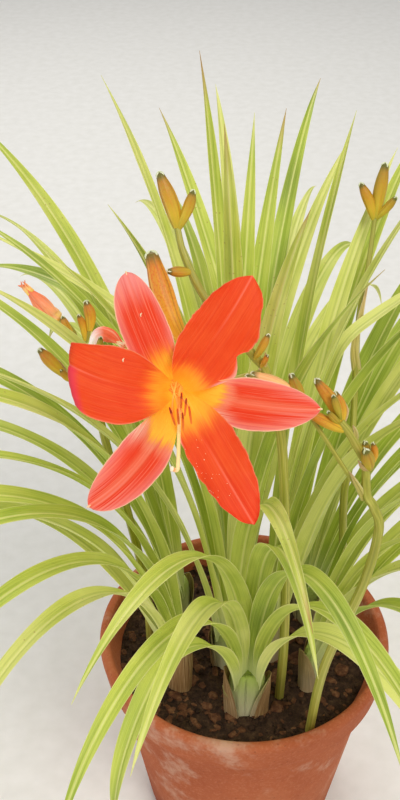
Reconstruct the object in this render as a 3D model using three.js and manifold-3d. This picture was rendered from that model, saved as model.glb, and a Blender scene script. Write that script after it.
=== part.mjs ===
// A potted daylily: a clump of strap-leaved crowns in a terracotta pot, with branched flower stalks,
// one open bloom facing forward and up, buds at every stage and two withered blooms.
// Millimetres, +Z up. The origin is the middle of the pot's underside; the bloom faces -Y.
import * as THREE from "three";
import * as BufferGeometryUtils from "three/addons/utils/BufferGeometryUtils.js";
import Module from "manifold-3d";

const wasm = await Module();
wasm.setup();

// ---- driving dimensions -------------------------------------------------------------------------

const JOIN_TOLERANCE = 0.12; // where two blades cross, corners closer than this become one
const GAP = 0.3; // clearance between pieces that touch
const HOLE_GAP = 0.6; // clearance round a stem in its hole in the soil

const POT_HEIGHT = 180;
const POT_RIM_RADIUS = 115;
const POT_BASE_RADIUS = 80;
const POT_FLOOR = 9;
const POT_SIDES = 28;
const RIM_BAND_HEIGHT = 32;
const DRAIN_HOLE_RADIUS = 6;
const DRAIN_HOLE_COUNT = 4;
const DRAIN_CIRCLE_RADIUS = 42;

const SOIL_TOP = 160;
const SOIL_BUMP = 2.5;
const PLANTING_DEPTH = 30; // how far crowns and stalks stand in the soil
const ROOT_Z = SOIL_TOP - PLANTING_DEPTH;

const OUTER_CROWN_RADIUS = 62;
const INNER_CROWN_RADIUS = 22;
const NECK_TOP = SOIL_TOP + 40;
const NECK_SIDES = 6;
const NECK_FOOT_SIZE = { long: 15.5, short: 8.5 }; // half the ellipse's long and short axes
const NECK_TOP_SIZE = { long: 14, short: 6.6 };
const LEAF_START = NECK_TOP - 12;
const LEAF_STEPS = 60; // integration steps along a leaf
const LEAF_ROWS = 7; // faces along a leaf
const LEAF_POWER = 0.8; // crowds the rows towards the tip, where the leaf bends most
const LEAF_CLEARANCE = 7.5; // least distance between points of leaves in different crowns
const OWN_CLEARANCE = 5; // the same between leaves of one crown, above its nested feet

const BLOOM_TILT = THREE.MathUtils.degToRad(36); // the bloom's axis above the horizontal
const BLOOM_CENTRE = new THREE.Vector3(-45, -150, 520); // middle of the bloom's face
const TUBE_BACK = 52; // from the face back to the foot of the tube
const TUBE_END = 26; // from the face back to where the petals part
const THROAT = { right: -3.2, up: 2.6 }; // the tube's mouth, off the bloom's axis
const PETAL_THICKNESS = 0.8;

// ---- colours ------------------------------------------------------------------------------------

const TERRACOTTA = new THREE.MeshStandardMaterial({ color: 0xb5613c, roughness: 0.9, metalness: 0 });
const SOIL = new THREE.MeshStandardMaterial({ color: 0x3a2a1e, roughness: 1, metalness: 0 });
const LEAF_GREEN = new THREE.MeshStandardMaterial({ color: 0x9db343, roughness: 0.55, metalness: 0 });
const STALK_GREEN = new THREE.MeshStandardMaterial({ color: 0x8f9a3c, roughness: 0.5, metalness: 0 });
const PETAL_RED = new THREE.MeshStandardMaterial({ color: 0xf04e24, roughness: 0.5, metalness: 0 });
const WITHERED = new THREE.MeshStandardMaterial({ color: 0xf08a5c, roughness: 0.7, metalness: 0 });

// ---- small helpers ------------------------------------------------------------------------------

const rad = THREE.MathUtils.degToRad;
const vec = (x, y, z) => new THREE.Vector3(x, y, z);
const vecs = (rows) => rows.map((row) => vec(...row));
const smooth = (low, high, x) => THREE.MathUtils.smoothstep(x, low, high);

// A repeatable draw between 0 and 1 for item i, property k.
function draw(i, k) {
  const wave = Math.sin(i * 12.9898 + k * 78.233) * 43758.5453;
  return wave - Math.floor(wave);
}

// A geometry from points and triangles, turned face out if its volume comes out negative.
function closedGeometry(points, triangles) {
  let volume = 0;
  for (const [a, b, c] of triangles) {
    volume += points[a].dot(vec(0, 0, 0).crossVectors(points[b], points[c]));
  }
  const index = volume < 0 ? triangles.flatMap(([a, b, c]) => [a, c, b]) : triangles.flat();
  const geometry = new THREE.BufferGeometry();
  const places = new Float32Array(points.flatMap((point) => point.toArray()));
  geometry.setAttribute("position", new THREE.BufferAttribute(places, 3));
  geometry.setIndex(index);
  return geometry;
}

// A thin closed sheet between two grids of points, split into triangles alike on both faces.
function sheet(top, bottom) {
  const rows = top.length - 1;
  const columns = top[0].length - 1;
  const points = [...top.flat(), ...bottom.flat()];
  const half = (rows + 1) * (columns + 1);
  const at = (i, j) => i * (columns + 1) + j;
  const triangles = [];
  for (let i = 0; i < rows; i += 1) {
    for (let j = 0; j < columns; j += 1) {
      const [a, b, c, d] = [at(i, j), at(i, j + 1), at(i + 1, j + 1), at(i + 1, j)];
      triangles.push([a, b, c], [a, c, d]);
      triangles.push([half + a, half + c, half + b], [half + a, half + d, half + c]);
    }
  }
  const wall = (a, b) => triangles.push([b, a, half + a], [b, half + a, half + b]);
  for (let j = 0; j < columns; j += 1) {
    wall(at(0, j), at(0, j + 1));
    wall(at(rows, j + 1), at(rows, j));
  }
  for (let i = 0; i < rows; i += 1) {
    wall(at(i + 1, 0), at(i, 0));
    wall(at(i, columns), at(i + 1, columns));
  }
  return closedGeometry(points, triangles);
}

// A closed solid through rings of points, each ring with the same number of corners.
function ringsSolid(rings) {
  const sides = rings[0].length;
  const points = rings.flat();
  const middle = (ring) => ring.reduce((sum, p) => sum.add(p), vec(0, 0, 0)).divideScalar(sides);
  const first = points.push(middle(rings[0])) - 1;
  const last = points.push(middle(rings[rings.length - 1])) - 1;
  const triangles = [];
  for (let k = 0; k < sides; k += 1) {
    const next = (k + 1) % sides;
    triangles.push([first, next, k]);
    for (let i = 0; i < rings.length - 1; i += 1) {
      const low = i * sides;
      const high = low + sides;
      triangles.push([low + k, low + next, high + next], [low + k, high + next, high + k]);
    }
    const end = (rings.length - 1) * sides;
    triangles.push([last, end + k, end + next]);
  }
  return closedGeometry(points, triangles);
}

// A smooth curve through hand-placed points.
function curveThrough(points) {
  return new THREE.CatmullRomCurve3(points, false, "catmullrom", 0.5);
}

// A round solid along a curve in a number of steps; radiusAt gives the radius at a way along (0 to 1)
// and a turn round the curve.
function stem(points, radiusAt, sides, steps) {
  const curve = curveThrough(points);
  const start = curve.getTangent(0);
  let across = vec(1, 0, 0).addScaledVector(start, -start.x);
  if (across.length() < 0.3) {
    across = vec(0, 1, 0).addScaledVector(start, -start.y);
  }
  const rings = [];
  for (let i = 0; i <= steps; i += 1) {
    const way = i / steps;
    const centre = curve.getPoint(way);
    const tangent = curve.getTangent(way);
    across.addScaledVector(tangent, -across.dot(tangent)).normalize();
    const other = vec(0, 0, 0).crossVectors(tangent, across);
    const ring = [];
    for (let k = 0; k < sides; k += 1) {
      const turn = (2 * Math.PI * k) / sides;
      const reach = radiusAt(way, turn);
      const point = centre.clone();
      point.addScaledVector(across, Math.cos(turn) * reach);
      point.addScaledVector(other, Math.sin(turn) * reach);
      ring.push(point);
    }
    rings.push(ring);
  }
  return ringsSolid(rings);
}

const taper = (start, end) => (way) => start + (end - start) * way;

function toSolid(geometry) {
  const bare = geometry.clone();
  bare.deleteAttribute("normal");
  bare.deleteAttribute("uv");
  const merged = BufferGeometryUtils.mergeVertices(bare, 1e-4);
  const corners = [];
  for (let i = 0; i < merged.index.count; i += 3) {
    const [a, b, c] = [0, 1, 2].map((k) => merged.index.getX(i + k));
    if (a !== b && b !== c && c !== a) {
      corners.push(a, b, c);
    }
  }
  return new wasm.Manifold(
    new wasm.Mesh({
      numProp: 3,
      vertProperties: new Float32Array(merged.attributes.position.array),
      triVerts: new Uint32Array(corners),
    }),
  );
}

function toGeometry(solid) {
  const mesh = solid.getMesh();
  const geometry = new THREE.BufferGeometry();
  geometry.setAttribute("position", new THREE.BufferAttribute(mesh.vertProperties, 3));
  geometry.setIndex(new THREE.BufferAttribute(mesh.triVerts, 1));
  return geometry;
}

// One body from several geometries that sink into each other. The small hollows shut in where blades
// cross are filled: decompose gives the outer skin and each hollow's skin, and the outer one is kept.
function fuse(geometries) {
  const joined = geometries.map(toSolid).reduce((sum, solid) => sum.add(solid));
  const skins = joined.decompose();
  const outer = skins.reduce((best, skin) => (skin.volume() > best.volume() ? skin : best));
  return toGeometry(outer.simplify(JOIN_TOLERANCE));
}

const plant = new THREE.Group();

function place(name, geometry, material) {
  geometry.computeVertexNormals();
  const mesh = new THREE.Mesh(geometry, material);
  mesh.name = name;
  plant.add(mesh);
}

// ---- the pot ------------------------------------------------------------------------------------

// The inside wall's radius at a height, a straight taper from the floor to under the lip.
const INSIDE_LOW = { z: POT_FLOOR + 3, radius: POT_BASE_RADIUS - 6 };
const INSIDE_HIGH = { z: POT_HEIGHT - 4, radius: POT_RIM_RADIUS - 9 };
function insideRadius(z) {
  const share = (z - INSIDE_LOW.z) / (INSIDE_HIGH.z - INSIDE_LOW.z);
  return INSIDE_LOW.radius + (INSIDE_HIGH.radius - INSIDE_LOW.radius) * share;
}

function pot() {
  const bandFoot = POT_HEIGHT - RIM_BAND_HEIGHT;
  const profile = [
    [0, 0],
    [POT_BASE_RADIUS - 2, 0],
    [POT_BASE_RADIUS, 2.5],
    [POT_RIM_RADIUS - 12, bandFoot],
    [POT_RIM_RADIUS - 4, bandFoot + 3],
    [POT_RIM_RADIUS, POT_HEIGHT - 5],
    [POT_RIM_RADIUS - 4.5, POT_HEIGHT],
    [POT_RIM_RADIUS - 7.5, POT_HEIGHT - 0.8],
    [INSIDE_HIGH.radius, INSIDE_HIGH.z],
    [INSIDE_LOW.radius, INSIDE_LOW.z],
    [INSIDE_LOW.radius - 4, POT_FLOOR],
    [0, POT_FLOOR],
  ].map(([radius, z]) => new THREE.Vector2(radius, z));
  const body = new THREE.LatheGeometry(profile, POT_SIDES).rotateX(Math.PI / 2);
  let solid = toSolid(body);
  for (let k = 0; k < DRAIN_HOLE_COUNT; k += 1) {
    const turn = (2 * Math.PI * (k + 0.5)) / DRAIN_HOLE_COUNT;
    const drill = new THREE.CylinderGeometry(DRAIN_HOLE_RADIUS, DRAIN_HOLE_RADIUS, POT_FLOOR * 3, 10);
    drill.rotateX(Math.PI / 2);
    const [x, y] = [DRAIN_CIRCLE_RADIUS * Math.cos(turn), DRAIN_CIRCLE_RADIUS * Math.sin(turn)];
    drill.translate(x, y, POT_FLOOR / 2);
    solid = solid.subtract(toSolid(drill));
  }
  place("pot", toGeometry(solid), TERRACOTTA);
}

// ---- leaves -------------------------------------------------------------------------------------

// A leaf is a strap on a centre line that rises from its crown and arches over. Each step along it
// has a centre, a direction, the face's normal and the sideways direction.
function leafLine(leaf) {
  const line = [];
  const centre = leaf.base.clone();
  const step = leaf.length / LEAF_STEPS;
  for (let i = 0; i <= LEAF_STEPS; i += 1) {
    const q = i / LEAF_STEPS;
    const crease = rad(leaf.crease) * smooth(leaf.creaseAt - 0.04, leaf.creaseAt + 0.04, q);
    const rise = rad(leaf.rise) - rad(leaf.bend) * q ** 1.7 - crease;
    const settle = (1 - Math.min(1, q / 0.25)) ** 2;
    const turn = rad(leaf.tipTurn) + rad(leaf.baseTurn - leaf.tipTurn) * settle;
    const along = vec(Math.cos(rise) * Math.cos(turn), Math.cos(rise) * Math.sin(turn), Math.sin(rise));
    const face = vec(-Math.sin(rise) * Math.cos(turn), -Math.sin(rise) * Math.sin(turn), Math.cos(rise));
    const side = vec(0, 0, 0).crossVectors(face, along);
    const twist = rad(leaf.twist) * q * q;
    line.push({
      q,
      centre: centre.clone(),
      face: face.clone().multiplyScalar(Math.cos(twist)).addScaledVector(side, -Math.sin(twist)),
      side: side.clone().multiplyScalar(Math.cos(twist)).addScaledVector(face, Math.sin(twist)),
    });
    centre.addScaledVector(along, step);
  }
  return line;
}

const LEAF_TIP_HALF_WIDTH = 0.7;
function leafHalfWidth(leaf, q) {
  const widening = 0.5 + 0.5 * smooth(0, 0.3, q);
  const tapering = q < 0.45 ? 1 : 1 - ((q - 0.45) / 0.55) ** 1.9;
  return Math.max(LEAF_TIP_HALF_WIDTH, (leaf.width / 2) * widening * tapering);
}

// The angle by which each half of the blade stands up from flat: folded at the foot, a shallow V above.
function leafFold(q) {
  return rad(24 + 50 * (1 - Math.min(1, q / 0.25)) ** 2);
}

// A point of the blade: across runs from -1 at one edge through 0 at the rib to 1 at the other edge.
function leafPoint(leaf, spot, across) {
  const half = leafHalfWidth(leaf, spot.q);
  const fold = leafFold(spot.q);
  return spot.centre
    .clone()
    .addScaledVector(spot.side, across * half * Math.cos(fold))
    .addScaledVector(spot.face, Math.abs(across) * half * Math.sin(fold));
}

const EDGE_THICKNESS = 0.7;
const RIB_THICKNESS = [1.6, 0.8]; // at the foot and at the tip

function leafGeometry(leaf) {
  const line = leafLine(leaf);
  const top = [];
  const bottom = [];
  for (let i = 0; i <= LEAF_ROWS; i += 1) {
    const spot = line[Math.round((i / LEAF_ROWS) ** LEAF_POWER * LEAF_STEPS)];
    const rib = RIB_THICKNESS[0] + (RIB_THICKNESS[1] - RIB_THICKNESS[0]) * spot.q;
    const thickness = [EDGE_THICKNESS, rib, EDGE_THICKNESS];
    const row = (sign) =>
      [-1, 0, 1].map((across, j) =>
        leafPoint(leaf, spot, across).addScaledVector(spot.face, (sign * thickness[j]) / 2),
      );
    top.push(row(1));
    bottom.push(row(-1));
  }
  return sheet(top, bottom);
}

// Points over a blade, for keeping the crowns clear of each other.
function leafSamples(leaf) {
  const samples = [];
  leafLine(leaf).forEach((spot) => {
    [-1, -0.5, 0, 0.5, 1].forEach((across) => {
      samples.push({ point: leafPoint(leaf, spot, across), ownReach: spot.q > 0.3 ? OWN_CLEARANCE : 0 });
    });
  });
  return samples;
}

// Points already taken, in cubes of CELL millimetres, each with its owner, how far others keep off,
// and how far later leaves of the same owner keep off.
const CELL = 24;
const taken = new Map();
function cellKey(point, dx, dy, dz) {
  const [x, y, z] = [point.x, point.y, point.z].map((value) => Math.floor(value / CELL));
  return `${x + dx},${y + dy},${z + dz}`;
}

function take(points, owner, reach) {
  takeAll(points.map((point) => ({ point, ownReach: 0 })), owner, reach);
}

function takeAll(samples, owner, reach) {
  samples.forEach(({ point, ownReach }) => {
    const key = cellKey(point, 0, 0, 0);
    if (!taken.has(key)) {
      taken.set(key, []);
    }
    taken.get(key).push({ point, owner, reach, ownReach });
  });
}

function isClear(samples, owner) {
  return samples.every((sample) => {
    for (let dx = -1; dx <= 1; dx += 1) {
      for (let dy = -1; dy <= 1; dy += 1) {
        for (let dz = -1; dz <= 1; dz += 1) {
          const others = taken.get(cellKey(sample.point, dx, dy, dz)) ?? [];
          const isNear = (other) => {
            const keepOff = other.owner === owner ? Math.min(other.ownReach, sample.ownReach) : other.reach;
            return keepOff > 0 && other.point.distanceTo(sample.point) < keepOff;
          };
          if (others.some(isNear)) {
            return false;
          }
        }
      }
    }
    return true;
  });
}

// The ways a leaf may be bent to pass its neighbours, the gentlest first: turned, then stooped.
const DODGE_TURNS = [0, 5, -5, 10, -10, 16, -16, 23, -23];
const DODGE_BENDS = [0, 12, -10, 24, -18, 38, 50];

function bentClear(leaf, owner) {
  for (const bend of DODGE_BENDS) {
    for (const turn of DODGE_TURNS) {
      const tried = { ...leaf, bend: leaf.bend + bend, tipTurn: leaf.tipTurn + turn };
      const samples = leafSamples(tried);
      if (samples.every(({ point }) => point.z > SOIL_TOP + 4) && isClear(samples, owner)) {
        takeAll(samples, owner, LEAF_CLEARANCE);
        return tried;
      }
    }
  }
  return null;
}

// The leaves of a crown, from the innermost to the outermost, stand alternately to its two sides and
// nest in each other: each lies a little further out and lower than the last.
const LEAVES_PER_CROWN = 8;
const OUTER_STYLE = { rise: [85, 72], bend: [72, 134], length: [428, 356], turn: [6, 33] };
const INNER_STYLE = { rise: [89, 81], bend: [14, 60], length: [442, 392], turn: [12, 57] };

const crowns = [];
for (let k = 0; k < 3; k += 1) {
  crowns.push({ radius: INNER_CROWN_RADIUS, turn: 120 * k, style: INNER_STYLE });
}
for (let k = 0; k < 6; k += 1) {
  crowns.push({ radius: OUTER_CROWN_RADIUS, turn: 60 * k - 90, style: OUTER_STYLE });
}
crowns.forEach((crown, i) => {
  crown.name = `leaf_fan_${i + 1}`;
  crown.number = i;
  crown.x = crown.radius * Math.cos(rad(crown.turn));
  crown.y = crown.radius * Math.sin(rad(crown.turn));
  // 1 for a crown in front, under the bloom, where the leaves stay shorter and stoop more
  crown.front = Math.max(0, -Math.sin(rad(crown.turn))) * (crown.style === OUTER_STYLE ? 1 : 0.4);
});

// A place by a crown: away from the pot's middle and sideways, both from the crown's own middle.
function crownPlace(crown, away, sideways, z) {
  const angle = rad(crown.turn);
  return vec(
    crown.x + away * Math.cos(angle) - sideways * Math.sin(angle),
    crown.y + away * Math.sin(angle) + sideways * Math.cos(angle),
    z,
  );
}

// Where the nested feet of a crown's leaves start, and how far each is from the last.
const NEST_SIDEWAYS = { first: 1.8, step: 2.5 };
const NEST_AWAY = { first: -2.6, step: 1.3 };

function crownLeaf(crown, order) {
  const id = crown.number * 10 + order;
  const sign = order % 2 === 0 ? 1 : -1;
  const pick = ([first, last]) => first + ((last - first) * order) / (LEAVES_PER_CROWN - 1);
  const sideways = sign * (NEST_SIDEWAYS.first + NEST_SIDEWAYS.step * Math.floor(order / 2));
  const away = NEST_AWAY.first + NEST_AWAY.step * order;
  return {
    base: crownPlace(crown, away, sideways, LEAF_START),
    baseTurn: crown.turn + sign * 8,
    tipTurn: crown.turn + sign * pick(crown.style.turn) + 6 * (draw(id, 1) - 0.5),
    rise: pick(crown.style.rise) + 0.8 * (draw(id, 2) - 0.5),
    bend: pick(crown.style.bend) + 22 * crown.front + 16 * (draw(id, 3) - 0.5),
    length: pick(crown.style.length) * (0.93 + 0.14 * draw(id, 4)) - 34 * crown.front,
    width: 16.5 + 4 * draw(id, 5),
    twist: 70 * (draw(id, 6) - 0.5),
    crease: draw(id, 7) > 0.86 ? 38 : 0,
    creaseAt: 0.55 + 0.2 * draw(id, 8),
  };
}

// The sheathed foot of a crown, a flattened neck that stands in the soil; grown by extra for its hole.
function neck(crown, extra) {
  const rings = [
    { z: ROOT_Z - extra, ...NECK_FOOT_SIZE },
    { z: NECK_TOP, ...NECK_TOP_SIZE },
  ].map(({ z, long, short }) => {
    const ring = [];
    for (let k = 0; k < NECK_SIDES; k += 1) {
      const turn = (2 * Math.PI * k) / NECK_SIDES;
      const away = Math.cos(turn) * (short + extra);
      const sideways = Math.sin(turn) * (long + extra);
      ring.push(crownPlace(crown, away, sideways, z));
    }
    return ring;
  });
  return ringsSolid(rings);
}

// ---- stalks and buds ----------------------------------------------------------------------------

const BUD_SHAPE = [0.5, 0.84, 1.0, 0.95, 0.55]; // the radius at even steps from foot to blunt tip
const OPENING_SHAPE = [0.4, 0.62, 0.84, 1.0, 0.62]; // a bud about to open, widest near its tip
const BUD_STEPS = BUD_SHAPE.length - 1;
const SMALL_BUD_RADIUS = 3; // thinner buds have fewer sides

function budGeometry(bud) {
  const shape = bud.shape ?? BUD_SHAPE;
  const radiusAt = (way) => bud.radius * shape[Math.round(way * BUD_STEPS)];
  return stem(bud.path, radiusAt, bud.radius < SMALL_BUD_RADIUS ? 5 : 6, BUD_STEPS);
}

const STALK_RADIUS = 3; // thinner stems are branches, with fewer sides

function stemGeometry(part) {
  return stem(part.path, taper(part.from, part.to), part.from < STALK_RADIUS ? 5 : 6, part.steps);
}

// A pointed scale that clasps the stalk below a branch or a bud.
function bractGeometry(bract) {
  const radiusAt = (way, turn) => {
    const flat = 0.35 + 0.65 * Math.abs(Math.cos(turn));
    return bract.radius * flat * (1 - 0.8 * way ** 1.5);
  };
  return stem(bract.path, radiusAt, 4, 3);
}

const tubeFoot = BLOOM_CENTRE.clone();
const bloomAxis = vec(0, -Math.cos(BLOOM_TILT), Math.sin(BLOOM_TILT));
tubeFoot.addScaledVector(bloomAxis, -TUBE_BACK);
const beforeFoot = (distance) => tubeFoot.clone().addScaledVector(bloomAxis, -distance);

const stalks = [
  {
    name: "stalk_main",
    stems: [
      {
        path: vecs([
          [26, -44, ROOT_Z], [26, -62, 230], [22, -78, 330], [17, -89, 408], [12.5, -88, 452],
          [3.5, -89, 490.5], [-4, -89, 502], [-19.5, -84, 520], [-32, -78, 534], [-40, -71.5, 547],
          [-45, -65.5, 558], [-48, -58.5, 569.5],
        ]),
        from: 3.6, to: 1.8, steps: 10,
      },
      {
        path: [vec(2.5, -88.5, 491), vec(-22, -93, 486), beforeFoot(8), beforeFoot(GAP)],
        from: 2.2, to: 2.6, steps: 6,
      },
      {
        path: vecs([[-13.5, -85.5, 512], [-29.5, -96, 513], [-42, -105, 518]]),
        from: 1.9, to: 2.4, steps: 4,
      },
    ],
    buds: [
      {
        path: vecs([[-40.5, -103.5, 517], [-47, -101.5, 526], [-54.5, -91, 541], [-61.5, -77, 560]]),
        radius: 6.2, shape: OPENING_SHAPE,
      },
      { path: vecs([[-4, -90.5, 501.5], [0, -93.5, 511.5], [3, -92, 518]]), radius: 2.4 },
      { path: vecs([[0, -91, 496], [1.5, -94, 502], [3, -94.5, 506]]), radius: 1.7 },
      { path: vecs([[-40.5, -71, 547], [-46, -77, 550.5], [-52, -81, 553]]), radius: 3.0 },
      { path: vecs([[-48, -59, 568.5], [-51, -54.5, 580], [-57, -49.5, 595.5]]), radius: 4.4 },
      { path: vecs([[-47.5, -59.5, 567.5], [-42, -55.5, 578.5], [-39, -54, 587.5]]), radius: 3.2 },
    ],
    bracts: [
      { path: vecs([[13.5, -88.5, 448.5], [16.5, -90.5, 465.5], [18.5, -91.5, 479.5]]), radius: 3.2 },
      { path: vecs([[-9, -87, 507.5], [-10, -81, 520], [-8, -77, 530]]), radius: 2.8 },
      { path: vecs([[0.5, -90, 493.5], [2, -92, 501], [2, -92, 506.5]]), radius: 2.0 },
    ],
  },
  {
    name: "stalk_right",
    stems: [
      {
        path: vecs([
          [46, -78, ROOT_Z], [52, -92, 240], [70, -102.5, 330], [74.5, -112.5, 388], [70, -112, 407.5],
          [65, -111, 416.5], [64, -107, 429], [63.5, -104.5, 439.5],
        ]),
        from: 3.4, to: 2.6, steps: 6,
      },
      {
        path: vecs([[63.5, -105, 437.5], [57.5, -104, 448], [52, -102, 457.5], [46.5, -101, 464.5]]),
        from: 2.8, to: 2.4, steps: 3,
      },
      {
        path: vecs([
          [65, -110.5, 414], [55, -108.5, 427.5], [46, -105, 441], [31.5, -101, 464], [24, -101.5, 478],
        ]),
        from: 1.4, to: 1.3, steps: 4,
      },
    ],
    buds: [
      { path: vecs([[24, -101.5, 476.5], [21, -100.5, 485.5], [17, -99, 495]]), radius: 3.4 },
      { path: vecs([[24, -101, 477], [11, -100.5, 489.5], [-5, -101, 497.5]]), radius: 3.7 },
      { path: vecs([[23, -102.5, 477], [8, -104.5, 487.5], [-8.5, -105.5, 499.5]]), radius: 2.6 },
      { path: vecs([[46.5, -100.5, 464], [41.5, -98.5, 476], [32, -96, 489.5]]), radius: 3.9 },
      { path: vecs([[47.5, -100.5, 463], [47, -96.5, 471], [43.5, -94.5, 479.5]]), radius: 3.3 },
      { path: vecs([[46.5, -101, 466.5], [43, -104.5, 478.5], [41, -104.5, 485]]), radius: 2.3 },
      { path: vecs([[46.5, -101.5, 463], [42, -105, 470], [38.5, -106, 475]]), radius: 2.0 },
      { path: vecs([[48.5, -102, 458.5], [39, -103.5, 465.5], [27.5, -105.5, 474]]), radius: 3.4 },
      { path: vecs([[66, -106.5, 433.5], [63.5, -110.5, 443.5], [61, -113.5, 452.5]]), radius: 3.9 },
      { path: vecs([[64, -104, 437], [63, -102.5, 444], [62, -103.5, 450.5]]), radius: 2.8 },
      { path: vecs([[66.5, -105.5, 435], [68, -105.5, 443.5], [66.5, -105, 451]]), radius: 2.2 },
    ],
    bracts: [
      { path: vecs([[64, -111, 413.5], [58.5, -111.5, 425], [53.5, -110, 434]]), radius: 2.6 },
      { path: vecs([[55.5, -103.5, 450.5], [56, -103, 457.5], [54, -102, 462.5]]), radius: 2.2 },
      { path: vecs([[48.5, -99.5, 463], [50.5, -97.5, 469.5], [49, -96, 475]]), radius: 1.8 },
      { path: vecs([[65, -106.5, 432], [60.5, -110.5, 438], [57.5, -111, 443.5]]), radius: 2.2 },
    ],
  },
  {
    name: "stalk_back",
    stems: [
      {
        path: vecs([
          [80, 0, ROOT_Z], [75, 1, 230], [69.5, -1, 317], [72, 4, 341.5], [73.5, 13, 370],
          [74.5, 32, 410], [76, 49, 440], [82, 68, 469], [87, 88, 502],
        ]),
        from: 3.3, to: 1.6, steps: 8,
      },
    ],
    buds: [
      { path: vecs([[87, 87, 500], [89, 93, 515], [92, 98, 534]]), radius: 4.6 },
      { path: vecs([[86, 87, 499], [82, 89, 511], [76, 91, 523]]), radius: 3.8 },
      { path: vecs([[87, 87, 499], [94, 86, 508], [99, 85, 516]]), radius: 2.9 },
    ],
    bracts: [
      { path: vecs([[75, 32, 410], [73, 36.5, 425.5], [77, 47.5, 445.5], [81.5, 58, 464]]), radius: 3.5 },
    ],
  },
  {
    name: "stalk_left",
    stems: [
      {
        path: vecs([
          [-74, 0, ROOT_Z], [-76, -14, 240], [-86, -28, 330], [-96, -31, 383], [-103, -23, 415],
          [-111, -16, 439], [-115.5, -9, 453.5], [-117, -5, 461],
        ]),
        from: 3.4, to: 2.2, steps: 8,
      },
      {
        path: vecs([[-117.5, -5.5, 460], [-119, -3.5, 463.5], [-123, -1.5, 467.5], [-126.5, 0, 470]]),
        from: 2.8, to: 3.2, steps: 3,
      },
      {
        path: vecs([[-115, -10, 452], [-110, -11, 451], [-106.5, -10.5, 455.5]]),
        from: 1.8, to: 2.3, steps: 4,
      },
      {
        path: vecs([[-111, -16, 437.5], [-117.5, -21.5, 437], [-124.5, -22.5, 443.5]]),
        from: 1.7, to: 1.5, steps: 3,
      },
      {
        path: vecs([[-114.5, -9, 453], [-109.5, -5, 458.5], [-107.5, -2, 464]]),
        from: 1.5, to: 1.4, steps: 3,
      },
      {
        path: vecs([[-112, -14.5, 442], [-106, -19, 449], [-101.5, -20, 457]]),
        from: 1.3, to: 1.4, steps: 3,
      },
    ],
    buds: [
      { path: vecs([[-123.5, -22.5, 443], [-131, -20.5, 451.5], [-137.5, -18, 458.5]]), radius: 4.1 },
      { path: vecs([[-119, -22, 438], [-122, -23.5, 442.5], [-125, -23.5, 447]]), radius: 2.4 },
      { path: vecs([[-118.5, -4.5, 463], [-121.5, -5.5, 469.5], [-123.5, -4, 475]]), radius: 2.6 },
      { path: vecs([[-107, -2.5, 464], [-106.5, 1.5, 473], [-108.5, 4, 481]]), radius: 3.7 },
      { path: vecs([[-110, -5.5, 458.5], [-111.5, -1.5, 468], [-113.5, -1, 474.5]]), radius: 2.4 },
      { path: vecs([[-101.7, -20, 456.5], [-99.5, -20.5, 463], [-98.5, -19.5, 469.5]]), radius: 2.3 },
    ],
    bracts: [
      { path: vecs([[-109, -17, 434], [-107.5, -19.5, 444.5], [-104.5, -21.5, 453.5]]), radius: 3.0 },
      { path: vecs([[-120, -21.5, 438.5], [-125, -16.5, 446.5], [-129.5, -14.5, 451.5]]), radius: 1.5 },
    ],
  },
];

function stalkGeometry(stalk) {
  return fuse([
    ...stalk.stems.map(stemGeometry),
    ...stalk.buds.map(budGeometry),
    ...stalk.bracts.map(bractGeometry),
  ]);
}

function pathSamples(path, count) {
  const curve = curveThrough(path);
  return Array.from({ length: count + 1 }, (_, i) => curve.getPoint(i / count));
}

// ---- the open bloom -----------------------------------------------------------------------------

// The bloom's own directions: right, up across its face, and forward along its axis.
const bloomRight = vec(1, 0, 0);
const bloomUp = vec(0, Math.sin(BLOOM_TILT), Math.cos(BLOOM_TILT));

function bloomPlace(right, up, forward) {
  return BLOOM_CENTRE.clone()
    .addScaledVector(bloomRight, right)
    .addScaledVector(bloomUp, up)
    .addScaledVector(bloomAxis, forward);
}

// turn: direction of the tepal on the bloom's face; sweep: how far it bends sideways on its way;
// flare: from the axis at its foot and at its spread; curl: extra bend back, and between which two
// ways along; skew: how much earlier one margin curls than the other; blunt: how square its tip is;
// foot: the radius at which it leaves the tube; footWidth: its width there as a share of its widest;
// wideAt: the way along at which it is widest; flatAt: where it stops wrapping round the tube;
// lean: how much wider the half on the turning side is than the other; corner: how much earlier that
// side's corner curls.
const SEPAL = {
  foot: 5.2, footWidth: 0.22, wideAt: 0.55, flatAt: 0.55, groove: 0, ruffle: 0.8, flare: [24, 84],
  curls: [0.6, 1], skew: 0, corner: 0, lean: 0,
};
const PETAL = {
  foot: 3.0, footWidth: 0.24, wideAt: 0.42, flatAt: 0.38, groove: 1.2, ruffle: 2.4, flare: [18, 80],
  curls: [0.6, 1], skew: 0, corner: 0, lean: 0,
};
const tepals = [
  {
    ...SEPAL, turn: 119, sweep: -12, length: 69.5, half: 12.6, wideAt: 0.45, curl: 14, blunt: [2.7, 0.6],
    lean: 0.07,
  },
  { ...SEPAL, turn: -15.5, sweep: 14.5, length: 82, half: 14, curl: 10, blunt: [2.4, 0.72], lean: -0.02 },
  { ...SEPAL, turn: -103, sweep: -46, length: 84, half: 13.3, curl: 14, blunt: [2.8, 0.62], lean: -0.03 },
  { ...PETAL, turn: 47.5, sweep: 15, length: 80, half: 17.8, curl: 16, blunt: [2.4, 0.7], lean: -0.09 },
  {
    ...PETAL, turn: -61, sweep: 2, length: 92, half: 14.2, wideAt: 0.5, curl: 12, blunt: [2.6, 0.68],
    lean: 0.14,
  },
  {
    ...PETAL, turn: 187, sweep: -50, length: 93, half: 20, ruffle: 1.2, curl: 116, curls: [0.65, 0.79],
    skew: -0.055, corner: 0.07, blunt: [1.3, 0.9], lean: 0.06,
  },
];
const TEPAL_STEPS = 60;
const TEPAL_ROWS = 8;
const TEPAL_ACROSS = [-1, -0.5, 0, 0.5, 1];
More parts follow.
